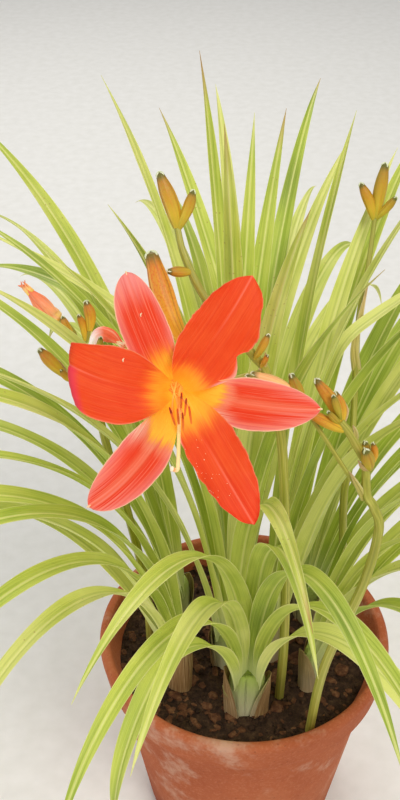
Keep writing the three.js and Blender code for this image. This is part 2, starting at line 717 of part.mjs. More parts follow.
const SPREAD_AT = 0.45; // way along at which a tepal has turned from the tube to its spread

// The direction away from the bloom's axis at a turn on its face.
function outward(turn) {
  return bloomRight.clone().multiplyScalar(Math.cos(turn)).addScaledVector(bloomUp, Math.sin(turn));
}

// The line that a strip of a tepal follows out from the tube; across names the strip, as below.
function tepalLine(tepal, across) {
  const line = [];
  const later = tepal.skew * across - tepal.corner * Math.max(0, across) ** 2;
  const curlFrom = tepal.curls[0] + later;
  const curlTo = tepal.curls[1] + later;
  const centre = bloomPlace(THROAT.right, THROAT.up, -TUBE_END - 2);
  centre.addScaledVector(outward(rad(tepal.turn)), tepal.foot);
  const step = tepal.length / TEPAL_STEPS;
  for (let i = 0; i <= TEPAL_STEPS; i += 1) {
    const q = i / TEPAL_STEPS;
    const spread = (tepal.flare[1] - tepal.flare[0]) * smooth(0, SPREAD_AT, q);
    const flare = rad(tepal.flare[0] + spread + tepal.curl * smooth(curlFrom, curlTo, q));
    const turn = rad(tepal.turn + tepal.sweep * q);
    const out = outward(turn);
    const along = out.clone().multiplyScalar(Math.sin(flare)).addScaledVector(bloomAxis, Math.cos(flare));
    const face = out.clone().multiplyScalar(-Math.cos(flare)).addScaledVector(bloomAxis, Math.sin(flare));
    const side = outward(turn + Math.PI / 2);
    line.push({ q, centre: centre.clone(), face, side });
    centre.addScaledVector(along, step);
  }
  return line;
}

function tepalHalfWidth(tepal, q) {
  const widening = tepal.footWidth + (1 - tepal.footWidth) * smooth(0, tepal.wideAt, q);
  const [power, root] = tepal.blunt;
  const closing = q < 0.5 ? 1 : (1 - ((q - 0.5) / 0.5) ** power) ** root;
  return Math.max(0.8, tepal.half * widening * closing);
}

// A point of a tepal: it wraps round the tube at its foot, and opens flat with a ruffled margin.
function tepalPoint(tepal, spot, across) {
  const half = tepalHalfWidth(tepal, spot.q);
  const wrap = (1 - smooth(0, tepal.flatAt, spot.q)) / (tepal.foot + 2);
  const reach = across * half * (1 + tepal.lean * across);
  const sideways = wrap > 1e-3 ? Math.sin(wrap * reach) / wrap : reach;
  const lift = wrap > 1e-3 ? (1 - Math.cos(wrap * reach)) / wrap : 0;
  const wave = Math.sin(spot.q * 17 + across * 2.3 + tepal.turn);
  const ruffle = tepal.ruffle * across ** 4 * wave * smooth(0.3, 0.6, spot.q);
  const groove = across === 0 ? tepal.groove * smooth(0.15, 0.4, spot.q) * (1 - smooth(0.8, 1, spot.q)) : 0;
  return spot.centre
    .clone()
    .addScaledVector(spot.side, sideways)
    .addScaledVector(spot.face, lift + ruffle - groove);
}

function tepalGeometry(tepal) {
  const lines = TEPAL_ACROSS.map((across) => tepalLine(tepal, across));
  const top = [];
  const bottom = [];
  for (let i = 0; i <= TEPAL_ROWS; i += 1) {
    const way = 1 - (1 - i / TEPAL_ROWS) ** 1.15;
    const step = Math.round(way * TEPAL_STEPS);
    const row = (sign) =>
      TEPAL_ACROSS.map((across, j) => {
        const spot = lines[j][step];
        return tepalPoint(tepal, spot, across).addScaledVector(spot.face, (sign * PETAL_THICKNESS) / 2);
      });
    top.push(row(1));
    bottom.push(row(-1));
  }
  return sheet(top, bottom);
}

// Filaments leave the end of the tube and droop; the rows are right, up and forward of each anther's
// middle, and how far to the right its lower end is of its upper end.
const ANTHERS = [
  [0.5, -4.3, 20, -0.3], [-4, -11.8, 22, 3], [-1, -12.4, 26, 1], [5, -11.2, 24, 1.3], [2.7, -7.2, 27, -0.8],
  [1.5, -14.3, 33, 0.5],
];
const FILAMENT_RADIUS = 0.6;
const ANTHER_RADIUS = 0.7;
const ANTHER_LENGTH = 9;

function stamenGeometries([right, up, forward, lean], i) {
  const turn = rad(60 * i + 20);
  const foot = [2.2 * Math.cos(turn), 2.2 * Math.sin(turn)];
  const path = [
    bloomPlace(THROAT.right + foot[0], THROAT.up + foot[1], -TUBE_END - 3),
    bloomPlace(THROAT.right + foot[0] * 1.3, THROAT.up + foot[1] * 1.3, -12),
    bloomPlace(right * 0.7 + THROAT.right * 0.4, up * 0.35, forward * 0.35),
    bloomPlace(right, up + ANTHER_LENGTH * 0.2, forward),
  ];
  const antherPath = [
    bloomPlace(right - lean / 2, up + ANTHER_LENGTH / 2, forward - 2),
    bloomPlace(right, up, forward),
    bloomPlace(right + lean / 2, up - ANTHER_LENGTH / 2, forward + 1),
  ];
  const antherRadius = (way) => ANTHER_RADIUS * (0.5 + 2 * way * (1 - way));
  return [stem(path, () => FILAMENT_RADIUS, 4, 3), stem(antherPath, antherRadius, 4, 2)];
}

const STYLE_RADIUS = 1.0;
const STIGMA_RADIUS = 1.3;
const STYLE_PATH = [
  [THROAT.right, THROAT.up, -TUBE_END - 3], [-1.8, 0, -10], [-0.6, -9.5, 18], [-0.6, -23, 32],
  [-0.7, -32.5, 38], [-1.2, -37.5, 41], [-3.9, -36.8, 43.5],
];

const TUBE_FOOT_RADIUS = 2.6;
const TUBE_MOUTH_RADIUS = 5.8;

function tubeGeometry() {
  // straight off its stem, then bent to the throat
  const path = [
    bloomPlace(0, 0, -TUBE_BACK),
    bloomPlace(0, 0, -TUBE_BACK + 7),
    bloomPlace(THROAT.right * 0.5, THROAT.up * 0.5, -TUBE_END - 9),
    bloomPlace(THROAT.right, THROAT.up, -TUBE_END),
  ];
  return stem(path, taper(TUBE_FOOT_RADIUS, TUBE_MOUTH_RADIUS), 8, 4);
}

function bloomGeometry() {
  const styleRadius = (way) => (way > 0.95 ? STIGMA_RADIUS : STYLE_RADIUS);
  const style = stem(STYLE_PATH.map((row) => bloomPlace(...row)), styleRadius, 5, 7);
  return fuse([
    tubeGeometry(),
    ...tepals.map(tepalGeometry),
    ...ANTHERS.flatMap(stamenGeometries),
    style,
  ]);
}

// ---- withered blooms ----------------------------------------------------------------------------

const SEAT_RADIUS = 2.6; // where a withered bloom sits on its stem

// A closed, twisted, ridged spindle with a frayed end.
function witheredGeometry(path, radius) {
  const radiusAt = (way, turn) => {
    const belly = 0.5 + 0.5 * Math.sin(Math.PI * Math.min(1, way * 0.75 + 0.12));
    const ridge = 1 + 0.22 * Math.cos(3 * turn + 5 * way);
    const start = way === 0 ? SEAT_RADIUS / radius / ridge : belly * (1 - 0.6 * smooth(0.75, 1, way));
    return radius * start * ridge;
  };
  return stem(path, radiusAt, 9, 7);
}

// The path of a withered bloom seated GAP off the end of its own stem.
function seatedPath(stemPath, rest) {
  const curve = curveThrough(stemPath);
  const end = curve.getPoint(1);
  const tangent = curve.getTangent(1);
  return [
    end.clone().addScaledVector(tangent, GAP),
    end.clone().addScaledVector(tangent, GAP + 5),
    ...vecs(rest),
  ];
}

const leftStalk = stalks.find((stalk) => stalk.name === "stalk_left");
const witheredBlooms = [
  {
    name: "withered_bloom_left",
    path: seatedPath(leftStalk.stems[1].path, [[-135, 2.5, 478.5], [-147.5, 7, 491]]),
    radius: 5.2,
  },
  {
    name: "withered_bloom_inner",
    path: seatedPath(leftStalk.stems[2].path, [[-99, -9, 466], [-92, -12.5, 466.5], [-85, -17.5, 463]]),
    radius: 4.4,
  },
];

// ---- the soil -----------------------------------------------------------------------------------

const SOIL_RINGS = [1, 0.55];

function soilGeometry() {
  const ringAt = (radius, heightAt) => {
    const ring = [];
    for (let k = 0; k < POT_SIDES; k += 1) {
      const turn = (2 * Math.PI * k) / POT_SIDES;
      ring.push(vec(radius * Math.sin(turn), -radius * Math.cos(turn), heightAt(k)));
    }
    return ring;
  };
  const low = POT_FLOOR + GAP;
  const topRadius = insideRadius(SOIL_TOP) - GAP * 1.5;
  const rings = [
    ringAt(INSIDE_LOW.radius - 4 - GAP * 2, () => low),
    ringAt(insideRadius(INSIDE_LOW.z) - GAP * 2, () => INSIDE_LOW.z + GAP),
    ...SOIL_RINGS.map((share, i) =>
      ringAt(topRadius * share, (k) => SOIL_TOP + (i === 0 ? -2 : SOIL_BUMP * (draw(k, 20 + i) - 0.6))),
    ),
  ];
  let solid = toSolid(ringsSolid(rings));
  crowns.forEach((crown) => {
    solid = solid.subtract(toSolid(neck(crown, HOLE_GAP)));
  });
  stalks.forEach((stalk) => {
    const root = stalk.stems[0];
    const foot = root.path[0];
    const higher = curveThrough(root.path).getPoint(1 / root.steps);
    const below = foot.clone().addScaledVector(higher.clone().sub(foot).normalize(), -GAP * 3);
    solid = solid.subtract(toSolid(stem([below, higher], () => root.from + HOLE_GAP, 6, 1)));
  });
  return toGeometry(solid);
}

// ---- putting it together ------------------------------------------------------------------------

// How far leaves keep off the middle line of each of these; buds also count their own radius.
const KEEP_OFF = { stem: 8.5, bud: 6, bract: 8, withered: 11, tepal: 10, style: 12 };

// Stalks, buds and blooms hold their places first; then the leaves are bent clear of them.
stalks.forEach((stalk) => {
  stalk.stems.forEach((part) => take(pathSamples(part.path, 60), stalk.name, KEEP_OFF.stem));
  stalk.buds.forEach((bud) => take(pathSamples(bud.path, 8), stalk.name, KEEP_OFF.bud + bud.radius));
  stalk.bracts.forEach((bract) => take(pathSamples(bract.path, 5), stalk.name, KEEP_OFF.bract));
});
witheredBlooms.forEach((bloom) => take(pathSamples(bloom.path, 10), bloom.name, KEEP_OFF.withered));
tepals.forEach((tepal) => {
  [-1, -0.6, -0.2, 0.2, 0.6, 1].forEach((across) => {
    take(tepalLine(tepal, across).map((spot) => tepalPoint(tepal, spot, across)), "bloom", KEEP_OFF.tepal);
  });
});
take(STYLE_PATH.map((row) => bloomPlace(...row)), "bloom", KEEP_OFF.style);

crowns.forEach((crown) => {
  crown.leaves = [];
  for (let order = 0; order < LEAVES_PER_CROWN; order += 1) {
    const leaf = bentClear(crownLeaf(crown, order), crown.name);
    if (leaf) {
      crown.leaves.push(leaf);
    }
  }
});

pot();
place("potting_soil", soilGeometry(), SOIL);
crowns.forEach((crown) => {
  place(crown.name, fuse([neck(crown, 0), ...crown.leaves.map(leafGeometry)]), LEAF_GREEN);
});
stalks.forEach((stalk) => place(stalk.name, stalkGeometry(stalk), STALK_GREEN));
place("bloom", bloomGeometry(), PETAL_RED);
witheredBlooms.forEach((bloom) => place(bloom.name, witheredGeometry(bloom.path, bloom.radius), WITHERED));

export default plant;
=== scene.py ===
"""A potted daylily: strap-leaved crowns, branched stalks, one open bloom, buds and withered blooms."""
import math

import bpy
import numpy as np
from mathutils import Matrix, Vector


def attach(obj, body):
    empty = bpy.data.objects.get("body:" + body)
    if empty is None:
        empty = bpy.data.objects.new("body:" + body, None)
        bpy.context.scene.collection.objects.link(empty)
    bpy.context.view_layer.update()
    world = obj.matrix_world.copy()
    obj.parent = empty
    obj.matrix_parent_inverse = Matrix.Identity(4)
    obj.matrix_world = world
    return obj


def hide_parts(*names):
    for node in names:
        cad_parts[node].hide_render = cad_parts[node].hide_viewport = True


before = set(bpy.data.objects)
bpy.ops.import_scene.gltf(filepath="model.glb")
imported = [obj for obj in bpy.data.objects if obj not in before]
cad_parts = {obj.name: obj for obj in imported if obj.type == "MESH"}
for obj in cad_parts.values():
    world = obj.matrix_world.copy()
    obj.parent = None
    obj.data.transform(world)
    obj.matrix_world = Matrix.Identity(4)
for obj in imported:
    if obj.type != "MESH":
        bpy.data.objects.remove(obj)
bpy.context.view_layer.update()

MM = 0.001
rad = math.radians

# ---- sizes, in millimetres, as in the part's solids ----

SOIL_TOP = 160.0
ROOT_Z = 130.0
NECK_TOP = 200.0
LEAF_START = NECK_TOP - 12
LEAF_STEPS = 60
LEAF_CLEARANCE = 7.5
OWN_CLEARANCE = 5.0
# where the leaves of a crown start, away from the clump's middle and sideways: the first, and each next one
NEST_AWAY = (-2.6, 1.3)
NEST_SIDEWAYS = (1.8, 2.5)
GAP = 0.3

POT_HEIGHT = 180.0
POT_RIM_RADIUS = 115.0
POT_BASE_RADIUS = 80.0
POT_FLOOR = 9.0
RIM_BAND_HEIGHT = 32.0
DRAIN_HOLES = 4
DRAIN_HOLE_RADIUS = 6.0
DRAIN_CIRCLE_RADIUS = 42.0

BLOOM_TILT = rad(36)
BLOOM_CENTRE = np.array([-45.0, -150.0, 520.0])
TUBE_BACK = 52.0
TUBE_END = 26.0
THROAT = (-3.2, 2.6)


# ---- numbers and curves ----


def smooth(low, high, x):
    t = np.clip((np.asarray(x, float) - low) / (high - low), 0, 1)
    return t * t * (3 - 2 * t)


def between(rise, fall, x):
    """1 between a rise and a fall, which are (from, to), and 0 outside them."""
    return smooth(*rise, x) * (1 - smooth(*fall, x))


def bell(x, width):
    return np.exp(-((x / width) ** 2))


def draw(i, k):
    """A repeatable draw between 0 and 1 for item i, property k."""
    wave = math.sin(i * 12.9898 + k * 78.233) * 43758.5453
    return wave - math.floor(wave)


def unit(v):
    v = np.asarray(v, float)
    return v / np.linalg.norm(v, axis=-1, keepdims=True)


def vectors(a, b, c):
    """Points or vectors from three numbers or arrays that go together."""
    return np.stack(np.broadcast_arrays(a, b, c), -1)


def around(sides):
    return 2 * np.pi * np.arange(sides) / sides


def circle(radius, z, turns):
    return vectors(radius * np.cos(turns), radius * np.sin(turns), z)


def ring(centre, across, other, reach, turns):
    """Points round a centre, each at its own reach."""
    reach = np.broadcast_to(reach, turns.shape)[:, None]
    return centre + np.cos(turns)[:, None] * across * reach + np.sin(turns)[:, None] * other * reach


class Curve:
    """A smooth curve through given points, even in the point's number."""

    def __init__(self, points):
        points = [np.asarray(p, float) for p in points]
        self.points = [2 * points[0] - points[1], *points, 2 * points[-1] - points[-2]]
        self.spans = len(points) - 1

    def at(self, t):
        place = min(max(t, 0), 1) * self.spans
        k = min(int(place), self.spans - 1)
        w = place - k
        p0, p1, p2, p3 = self.points[k : k + 4]
        t0, t1 = (p2 - p0) / 2, (p3 - p1) / 2
        return p1 + t0 * w + (3 * (p2 - p1) - 2 * t0 - t1) * w**2 + (2 * (p1 - p2) + t0 + t1) * w**3

    def tangent(self, t):
        low, high = max(t - 1e-4, 0), min(t + 1e-4, 1)
        return unit(self.at(high) - self.at(low))

    def samples(self, count):
        return np.array([self.at(k / count) for k in range(count + 1)])

    def length(self):
        return np.linalg.norm(np.diff(self.samples(60), axis=0), axis=1).sum()


def frames(points, steps):
    """Way, centre, two directions across and tangent, at even steps along a curve."""
    curve = Curve(points)
    start = curve.tangent(0)
    across = np.array([1.0, 0, 0]) - start * start[0]
    if np.linalg.norm(across) < 0.3:
        across = np.array([0, 1.0, 0]) - start * start[1]
    out = []
    for i in range(steps + 1):
        way = i / steps
        tangent = curve.tangent(way)
        across = unit(across - tangent * across.dot(tangent))
        out.append((way, curve.at(way), across, np.cross(tangent, across), tangent))
    return out


# ---- mesh pieces ----


def place_mesh(name, points, faces):
    """A new object in the scene; its points are in metres."""
    mesh = bpy.data.meshes.new(name)
    mesh.from_pydata(points.tolist(), [], faces)
    placed = bpy.data.objects.new(name, mesh)
    bpy.context.scene.collection.objects.link(placed)
    return placed


class Piece:
    """Gathers closed skins into one mesh. Each point carries two vectors that the materials read."""

    def __init__(self):
        self.points, self.faces, self.spots, self.tones = [], [], [], []
        self.count = 0

    def add(self, points, faces, spots=(0, 0, 0), tones=(0, 0, 0)):
        """A closed skin, turned so that its faces look outward."""
        fans = np.array([(f[0], f[k], f[k + 1]) for f in faces for k in range(1, len(f) - 1)])
        a, b, c = points[fans.T]
        outward = np.einsum("ij,ij->", a, np.cross(b, c)) > 0
        self.faces += [[k + self.count for k in (f if outward else f[::-1])] for f in faces]
        self.points.append(points)
        self.spots.append(np.broadcast_to(spots, points.shape))
        self.tones.append(np.broadcast_to(tones, points.shape))
        self.count += len(points)

    def sheet(self, top, bottom, spots, tones):
        """A thin closed sheet between two grids of points."""
        rows, columns = top.shape[:2]
        under = rows * columns
        at = np.arange(under).reshape(rows, columns)
        faces = []
        quads = (at[:-1, :-1], at[:-1, 1:], at[1:, 1:], at[1:, :-1])
        for corners in zip(*(corner.ravel().tolist() for corner in quads)):
            faces += [corners, [under + k for k in corners[::-1]]]
        rim = [*at[0, :-1].tolist(), *at[:-1, -1].tolist(), *at[-1, :0:-1].tolist(), *at[:0:-1, 0].tolist()]
        for k, n in zip(rim, rim[1:] + rim[:1]):
            faces.append([n, k, under + k, under + n])
        spots, tones = (np.broadcast_to(v, top.shape) for v in (spots, tones))
        join = lambda upper, lower: np.concatenate([upper.reshape(-1, 3), lower.reshape(-1, 3)])
        self.add(join(top, bottom), faces, join(spots, spots), join(tones, tones))

    def loft(self, rings, spots=(0, 0, 0), tones=(0, 0, 0)):
        """A closed solid through rings of points, fanned shut at both ends."""
        rings = np.array(rings)
        steps, sides = rings.shape[:2]
        after = [*range(1, sides), 0]
        faces = []
        for low in range(0, (steps - 1) * sides, sides):
            high = low + sides
            faces += [[low + k, low + n, high + n, high + k] for k, n in enumerate(after)]
        end = steps * sides
        for k, n in enumerate(after):
            faces += [[end, n, k], [end + 1, end - sides + k, end - sides + n]]

        def closed(rows):
            rows = np.broadcast_to(rows, rings.shape)
            return np.concatenate([rows.reshape(-1, 3), [rows[0].mean(0), rows[-1].mean(0)]])

        self.add(closed(rings), faces, closed(spots), closed(tones))

    def make(self, name, material, slot, node, sharp=50):
        piece = place_mesh(name, np.concatenate(self.points) * MM, self.faces)
        mesh = piece.data
        mesh.polygons.foreach_set("use_smooth", [True] * len(mesh.polygons))
        for label, rows in (("spot", self.spots), ("tone", self.tones)):
            layer = mesh.attributes.new(label, "FLOAT_VECTOR", "POINT")
            layer.data.foreach_set("vector", np.concatenate(rows).astype(np.float32).ravel())
        mesh.set_sharp_from_angle(angle=rad(sharp))
        mesh.materials.append(material)
        mesh.validate()
        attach(piece, "root")
        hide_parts(node)
        return piece


def tube(piece, points, radius_at, sides, steps, tone=(0, 0, 0), start=0.0):
    """A round solid along a curve. spot is (mm along, turn in turns, way along)."""
    length = Curve(points).length()
    turns = around(sides)
    rings, spots = [], []
    for way, centre, across, other, _ in frames(points, steps):
        rings.append(ring(centre, across, other, radius_at(way, turns), turns))
        spots.append(vectors(start + way * length, turns / (2 * np.pi), way))
    piece.loft(rings, spots, tone)


# ---- materials ----


def linear(*screen):
    """A screen colour, 0 to 255, as the shader's linear colour."""
    shares = [c / 255 for c in screen]
    return tuple(c / 12.92 if c <= 0.04045 else ((c + 0.055) / 1.055) ** 2.4 for c in shares) + (1.0,)


class Value:
    """A number, vector or colour that a material works out at each point, by nodes."""

    def __init__(self, shade, socket):
        self.shade, self.socket = shade, socket

    def result(self, operation, *others):
        return self.shade.node("Math", dict(enumerate((self, *others))), operation=operation)

    def __add__(self, other):
        return self.result("ADD", other)

    def __sub__(self, other):
        return self.result("SUBTRACT", other)

    def __rsub__(self, other):
        return self * -1 + other

    def __mul__(self, other):
        return self.result("MULTIPLY", other)

    def __abs__(self):
        return self.result("ABSOLUTE")

    def on_ring(self):
        """The cosine and sine of this many turns."""
        angle = self * (2 * math.pi)
        return angle.result("COSINE"), angle.result("SINE")

    def lines(self, spacing):
        """A wave from 0 to 1 that repeats every spacing."""
        return (self * (2 * math.pi / spacing)).result("SINE") * 0.5 + 0.5

    def step(self, low, high, start=0.0, end=1.0):
        """Goes smoothly from start at low to end at high."""
        inputs = {"Value": self, "From Min": low, "From Max": high, "To Min": start, "To Max": end}
        return self.shade.node("MapRange", inputs, "Result", interpolation_type="SMOOTHSTEP")

    def ramp(self, *stops):
        """A colour that goes through stops of (place, red, green, blue)."""
        made = self.shade.node("ValToRGB", {0: self})
        elements = made.socket.node.color_ramp.elements
        while len(elements) < len(stops):
            elements.new(0.5)
        for element, (place, *colour) in zip(elements, stops):
            element.position = place
            element.color = linear(*colour)
        return made

    def layered(self, *layers):
        """This colour under layers of (share, red, green, blue) or (share, colour)."""
        colour = self
        for share, *paint in layers:
            inputs = {0: share, 6: colour, 7: paint[0] if len(paint) == 1 else linear(*paint)}
            colour = self.shade.node("Mix", inputs, 2, data_type="RGBA", clamp_factor=True)
        return colour


class Shade:
    """A material built from nodes."""

    def __init__(self, name, roughness, specular, sheen=0.0):
        self.material = bpy.data.materials.new(name)
        self.material.use_nodes = True
        self.tree = self.material.node_tree
        self.inputs = self.tree.nodes["Principled BSDF"].inputs
        self.inputs["Roughness"].default_value = roughness
        self.inputs["Specular IOR Level"].default_value = specular
        self.inputs["Sheen Weight"].default_value = sheen

    def link(self, value, socket):
        if isinstance(value, Value):
            self.tree.links.new(value.socket, socket)
        else:
            socket.default_value = value

    def node(self, kind, inputs, output=0, **settings):
        """A new node, as the value of one of its outputs."""
        node = self.tree.nodes.new("ShaderNode" + kind)
        for key, setting in settings.items():
            setattr(node, key, setting)
        for key, value in inputs.items():
            self.link(value, node.inputs[key])
        return Value(self, node.outputs[output])

    def split(self, vector):
        return [self.node("SeparateXYZ", {0: vector}, axis) for axis in range(3)]

    def attribute(self, name):
        """The three numbers that each point carries under this name."""
        return self.split(self.node("Attribute", {}, "Vector", attribute_name=name))

    def place(self):
        return self.node("TexCoord", {}, "Object")

    def vector(self, *numbers):
        return self.node("CombineXYZ", dict(enumerate(numbers)))

    def noise(self, at, detail, roughness=0.5, scale=1.0):
        inputs = {"Vector": at, "Scale": scale, "Detail": detail, "Roughness": roughness}
        return self.node("TexNoise", inputs, "Fac")

    def grain(self, scale, detail, roughness=0.5):
        return self.noise(self.place(), detail, roughness, scale)

    def cells(self, at, scale):
        return self.node("TexVoronoi", {"Vector": at, "Scale": scale}, "Distance")

    def made(self, colour, *bumps, painted_glow=None, rough=None):
        """The material with this colour and with bumps of (height from 0 to 1, depth in mm). painted_glow is
        painted light: emission in the surface's colour, standing in for light let through from behind and
        lifting shade."""
        self.link(colour, self.inputs["Base Color"])
        if painted_glow is not None:
            self.link(colour, self.inputs["Emission Color"])
            self.link(painted_glow, self.inputs["Emission Strength"])
        if rough is not None:
            self.link(rough, self.inputs["Roughness"])
        below = {}
        for height, depth in bumps:
            inputs = {"Strength": 1.0, "Distance": depth * MM, "Height": height, **below}
            below = {"Normal": self.node("Bump", inputs)}
        self.link(below["Normal"], self.inputs["Normal"])
        return self.material


def leaf_material():
    """spot: mm along, mm across, way along. tone: across -1 to 1, the leaf's own draw, how dry."""
    s = Shade("leaf", roughness=0.45, specular=0.35)
    along, over, way = s.attribute("spot")
    across, own, dry = s.attribute("tone")
    streak = s.noise(s.vector(over * 0.9, along * 0.012, own * 37), 3, 0.6)
    cloud = s.noise(s.vector(over * 0.05, along * 0.02, own * 91), 2)
    fine = s.noise(s.vector(over * 3, along * 0.12, own), 2)
    veins = over.lines(1.05)
    from_rib = abs(over)
    beside_rib = from_rib.step(1.0, 1.6) * from_rib.step(3.2, 1.7)
    wither = dry * (way + cloud * 0.12).step(0.97, 1.08)
    fleck = s.cells(s.vector(over, along, own), 0.16).step(0.12, 0.05) * dry
    green = (cloud * 0.9 + own * 0.55).ramp(
        (0.30, 130, 152, 40), (0.52, 164, 184, 54), (0.76, 196, 206, 80), (0.98, 222, 224, 124))
    green = green.layered(
        (streak.step(0.40, 0.75) * 0.42, 214, 222, 116),
        (streak.step(0.52, 0.25) * 0.26, 98, 130, 32),
        (from_rib.step(1.1, 0.25) * 0.62, 230, 228, 150),
        (beside_rib * 0.26, 106, 136, 38),
        (abs(across).step(0.90, 0.99) * 0.55, 236, 230, 160),
        (along.step(60, 8) * 0.7, 206, 214, 150),
        (wither, 176, 132, 70),
        (fleck * 0.5, 150, 104, 52),
        (veins * 0.10, 222, 226, 150))
    # painted glow: a faint emission over the whole leaf, standing in for light through the blade
    return s.made(green, (veins, 0.10), (fine, 0.16), painted_glow=0.09, rough=fine.step(0.2, 0.8, 0.40, 0.56))


def sheath_material():
    """spot: mm along, mm round, way along. tone: across, the scale's own draw, how papery."""
    s = Shade("sheath", roughness=0.6, specular=0.35)
    along, round_mm, way = s.attribute("spot")
    _, own, papery = s.attribute("tone")
    fibres = s.noise(s.vector(round_mm * 1.4, along * 0.03, own), 4, 0.6)
    fresh = way.ramp((0.0, 214, 190, 160), (0.45, 222, 220, 176), (1.0, 168, 188, 84))
    old = fibres.ramp((0.25, 112, 78, 44), (0.55, 178, 142, 92), (0.8, 214, 190, 142))
    colour = fresh.layered((papery, old), (fibres.step(0.5, 0.8) * 0.25, 236, 230, 196))
    return s.made(colour, (round_mm.lines(0.9), 0.12), (fibres, 0.3))


def stalk_material():
    """spot: mm along, turn in turns, way along. tone: how dark, the stem's own draw, how red."""
    s = Shade("stalk", roughness=0.45, specular=0.4)
    along, turn, _ = s.attribute("spot")
    dark, own, red = s.attribute("tone")
    x, y = turn.on_ring()
    streak = s.noise(s.vector(x * 2.4, y * 2.4, along * 0.02), 4, 0.6)
    mottle = s.noise(s.vector(x * 1.2, y * 1.2, along * 0.05 + own), 3)
    green = streak.ramp((0.25, 138, 142, 46), (0.5, 178, 176, 70), (0.75, 216, 210, 112))
    green = green.layered((dark * 0.75, 84, 92, 34), (red * mottle.step(0.45, 0.75) * 0.5, 196, 132, 60))
    return s.made(green, (streak, 0.18))


def bud_material():
    """spot: mm along, turn in turns, way along, over 1 on the tip. tone: ripeness (over 1 is
    peach), own draw, height of ridge."""
    s = Shade("bud", roughness=0.42, specular=0.3)
    along, turn, way = s.attribute("spot")
    ripe, own, ridge = s.attribute("tone")
    x, y = turn.on_ring()
    streak = s.noise(s.vector(x * 3.2, y * 3.2 + own, along * 0.05), 4, 0.6)
    mottle = s.noise(s.vector(x * 6, y * 6 + own, along * 0.9), 3, 0.6)
    wander = way + streak * 0.30 - 0.15
    green = wander.ramp((0.0, 162, 158, 50), (0.35, 196, 178, 56), (0.7, 186, 160, 50), (1.0, 142, 138, 54))
    orange = wander.ramp((0.0, 228, 196, 58), (0.3, 236, 188, 52), (0.65, 226, 162, 50), (1.0, 210, 130, 42))
    peach = streak.ramp((0.35, 250, 176, 124), (0.6, 254, 212, 140))
    # painted shade: one side of each bud, turned at random, is darkened towards olive
    painted_shade_side = (own * 6 + turn * (2 * math.pi)).result("COSINE").step(0.25, 0.95)
    opening = ripe.step(0.92, 0.99)
    blotch = mottle.step(0.46, 0.62) * ripe * way.step(0.25, 0.85)
    tip = (way + streak * 0.12 - 0.06).step(0.90, 1.02)
    colour = green.layered(
        (ripe, orange),
        (painted_shade_side * (ripe * -0.45 + 0.62), 146, 140, 44),
        (streak.step(0.5, 0.75) * 0.30, 222, 124, 38),
        # the bud about to open is yellower towards its foot
        (opening * wander.step(0.50, 0.22) * 0.7, 252, 206, 70),
        (blotch * 0.65, 214, 96, 28),
        # painted highlight on the raised crests and painted shade down in the seams and grooves, both set by
        # ridge height
        (ridge.step(0.62, 1.0) * 0.50, 255, 216, 118),
        (ridge.step(0.30, -0.05) * 0.50, 160, 98, 30),
        (ripe.step(1.1, 1.6) * 0.85, peach),
        (tip * 0.85, 92, 100, 44))
    # painted glow: a faint emission, a little stronger on the bud about to open
    return s.made(colour, (streak, 0.25), (mottle, 0.10), painted_glow=opening * 0.06 + 0.05)


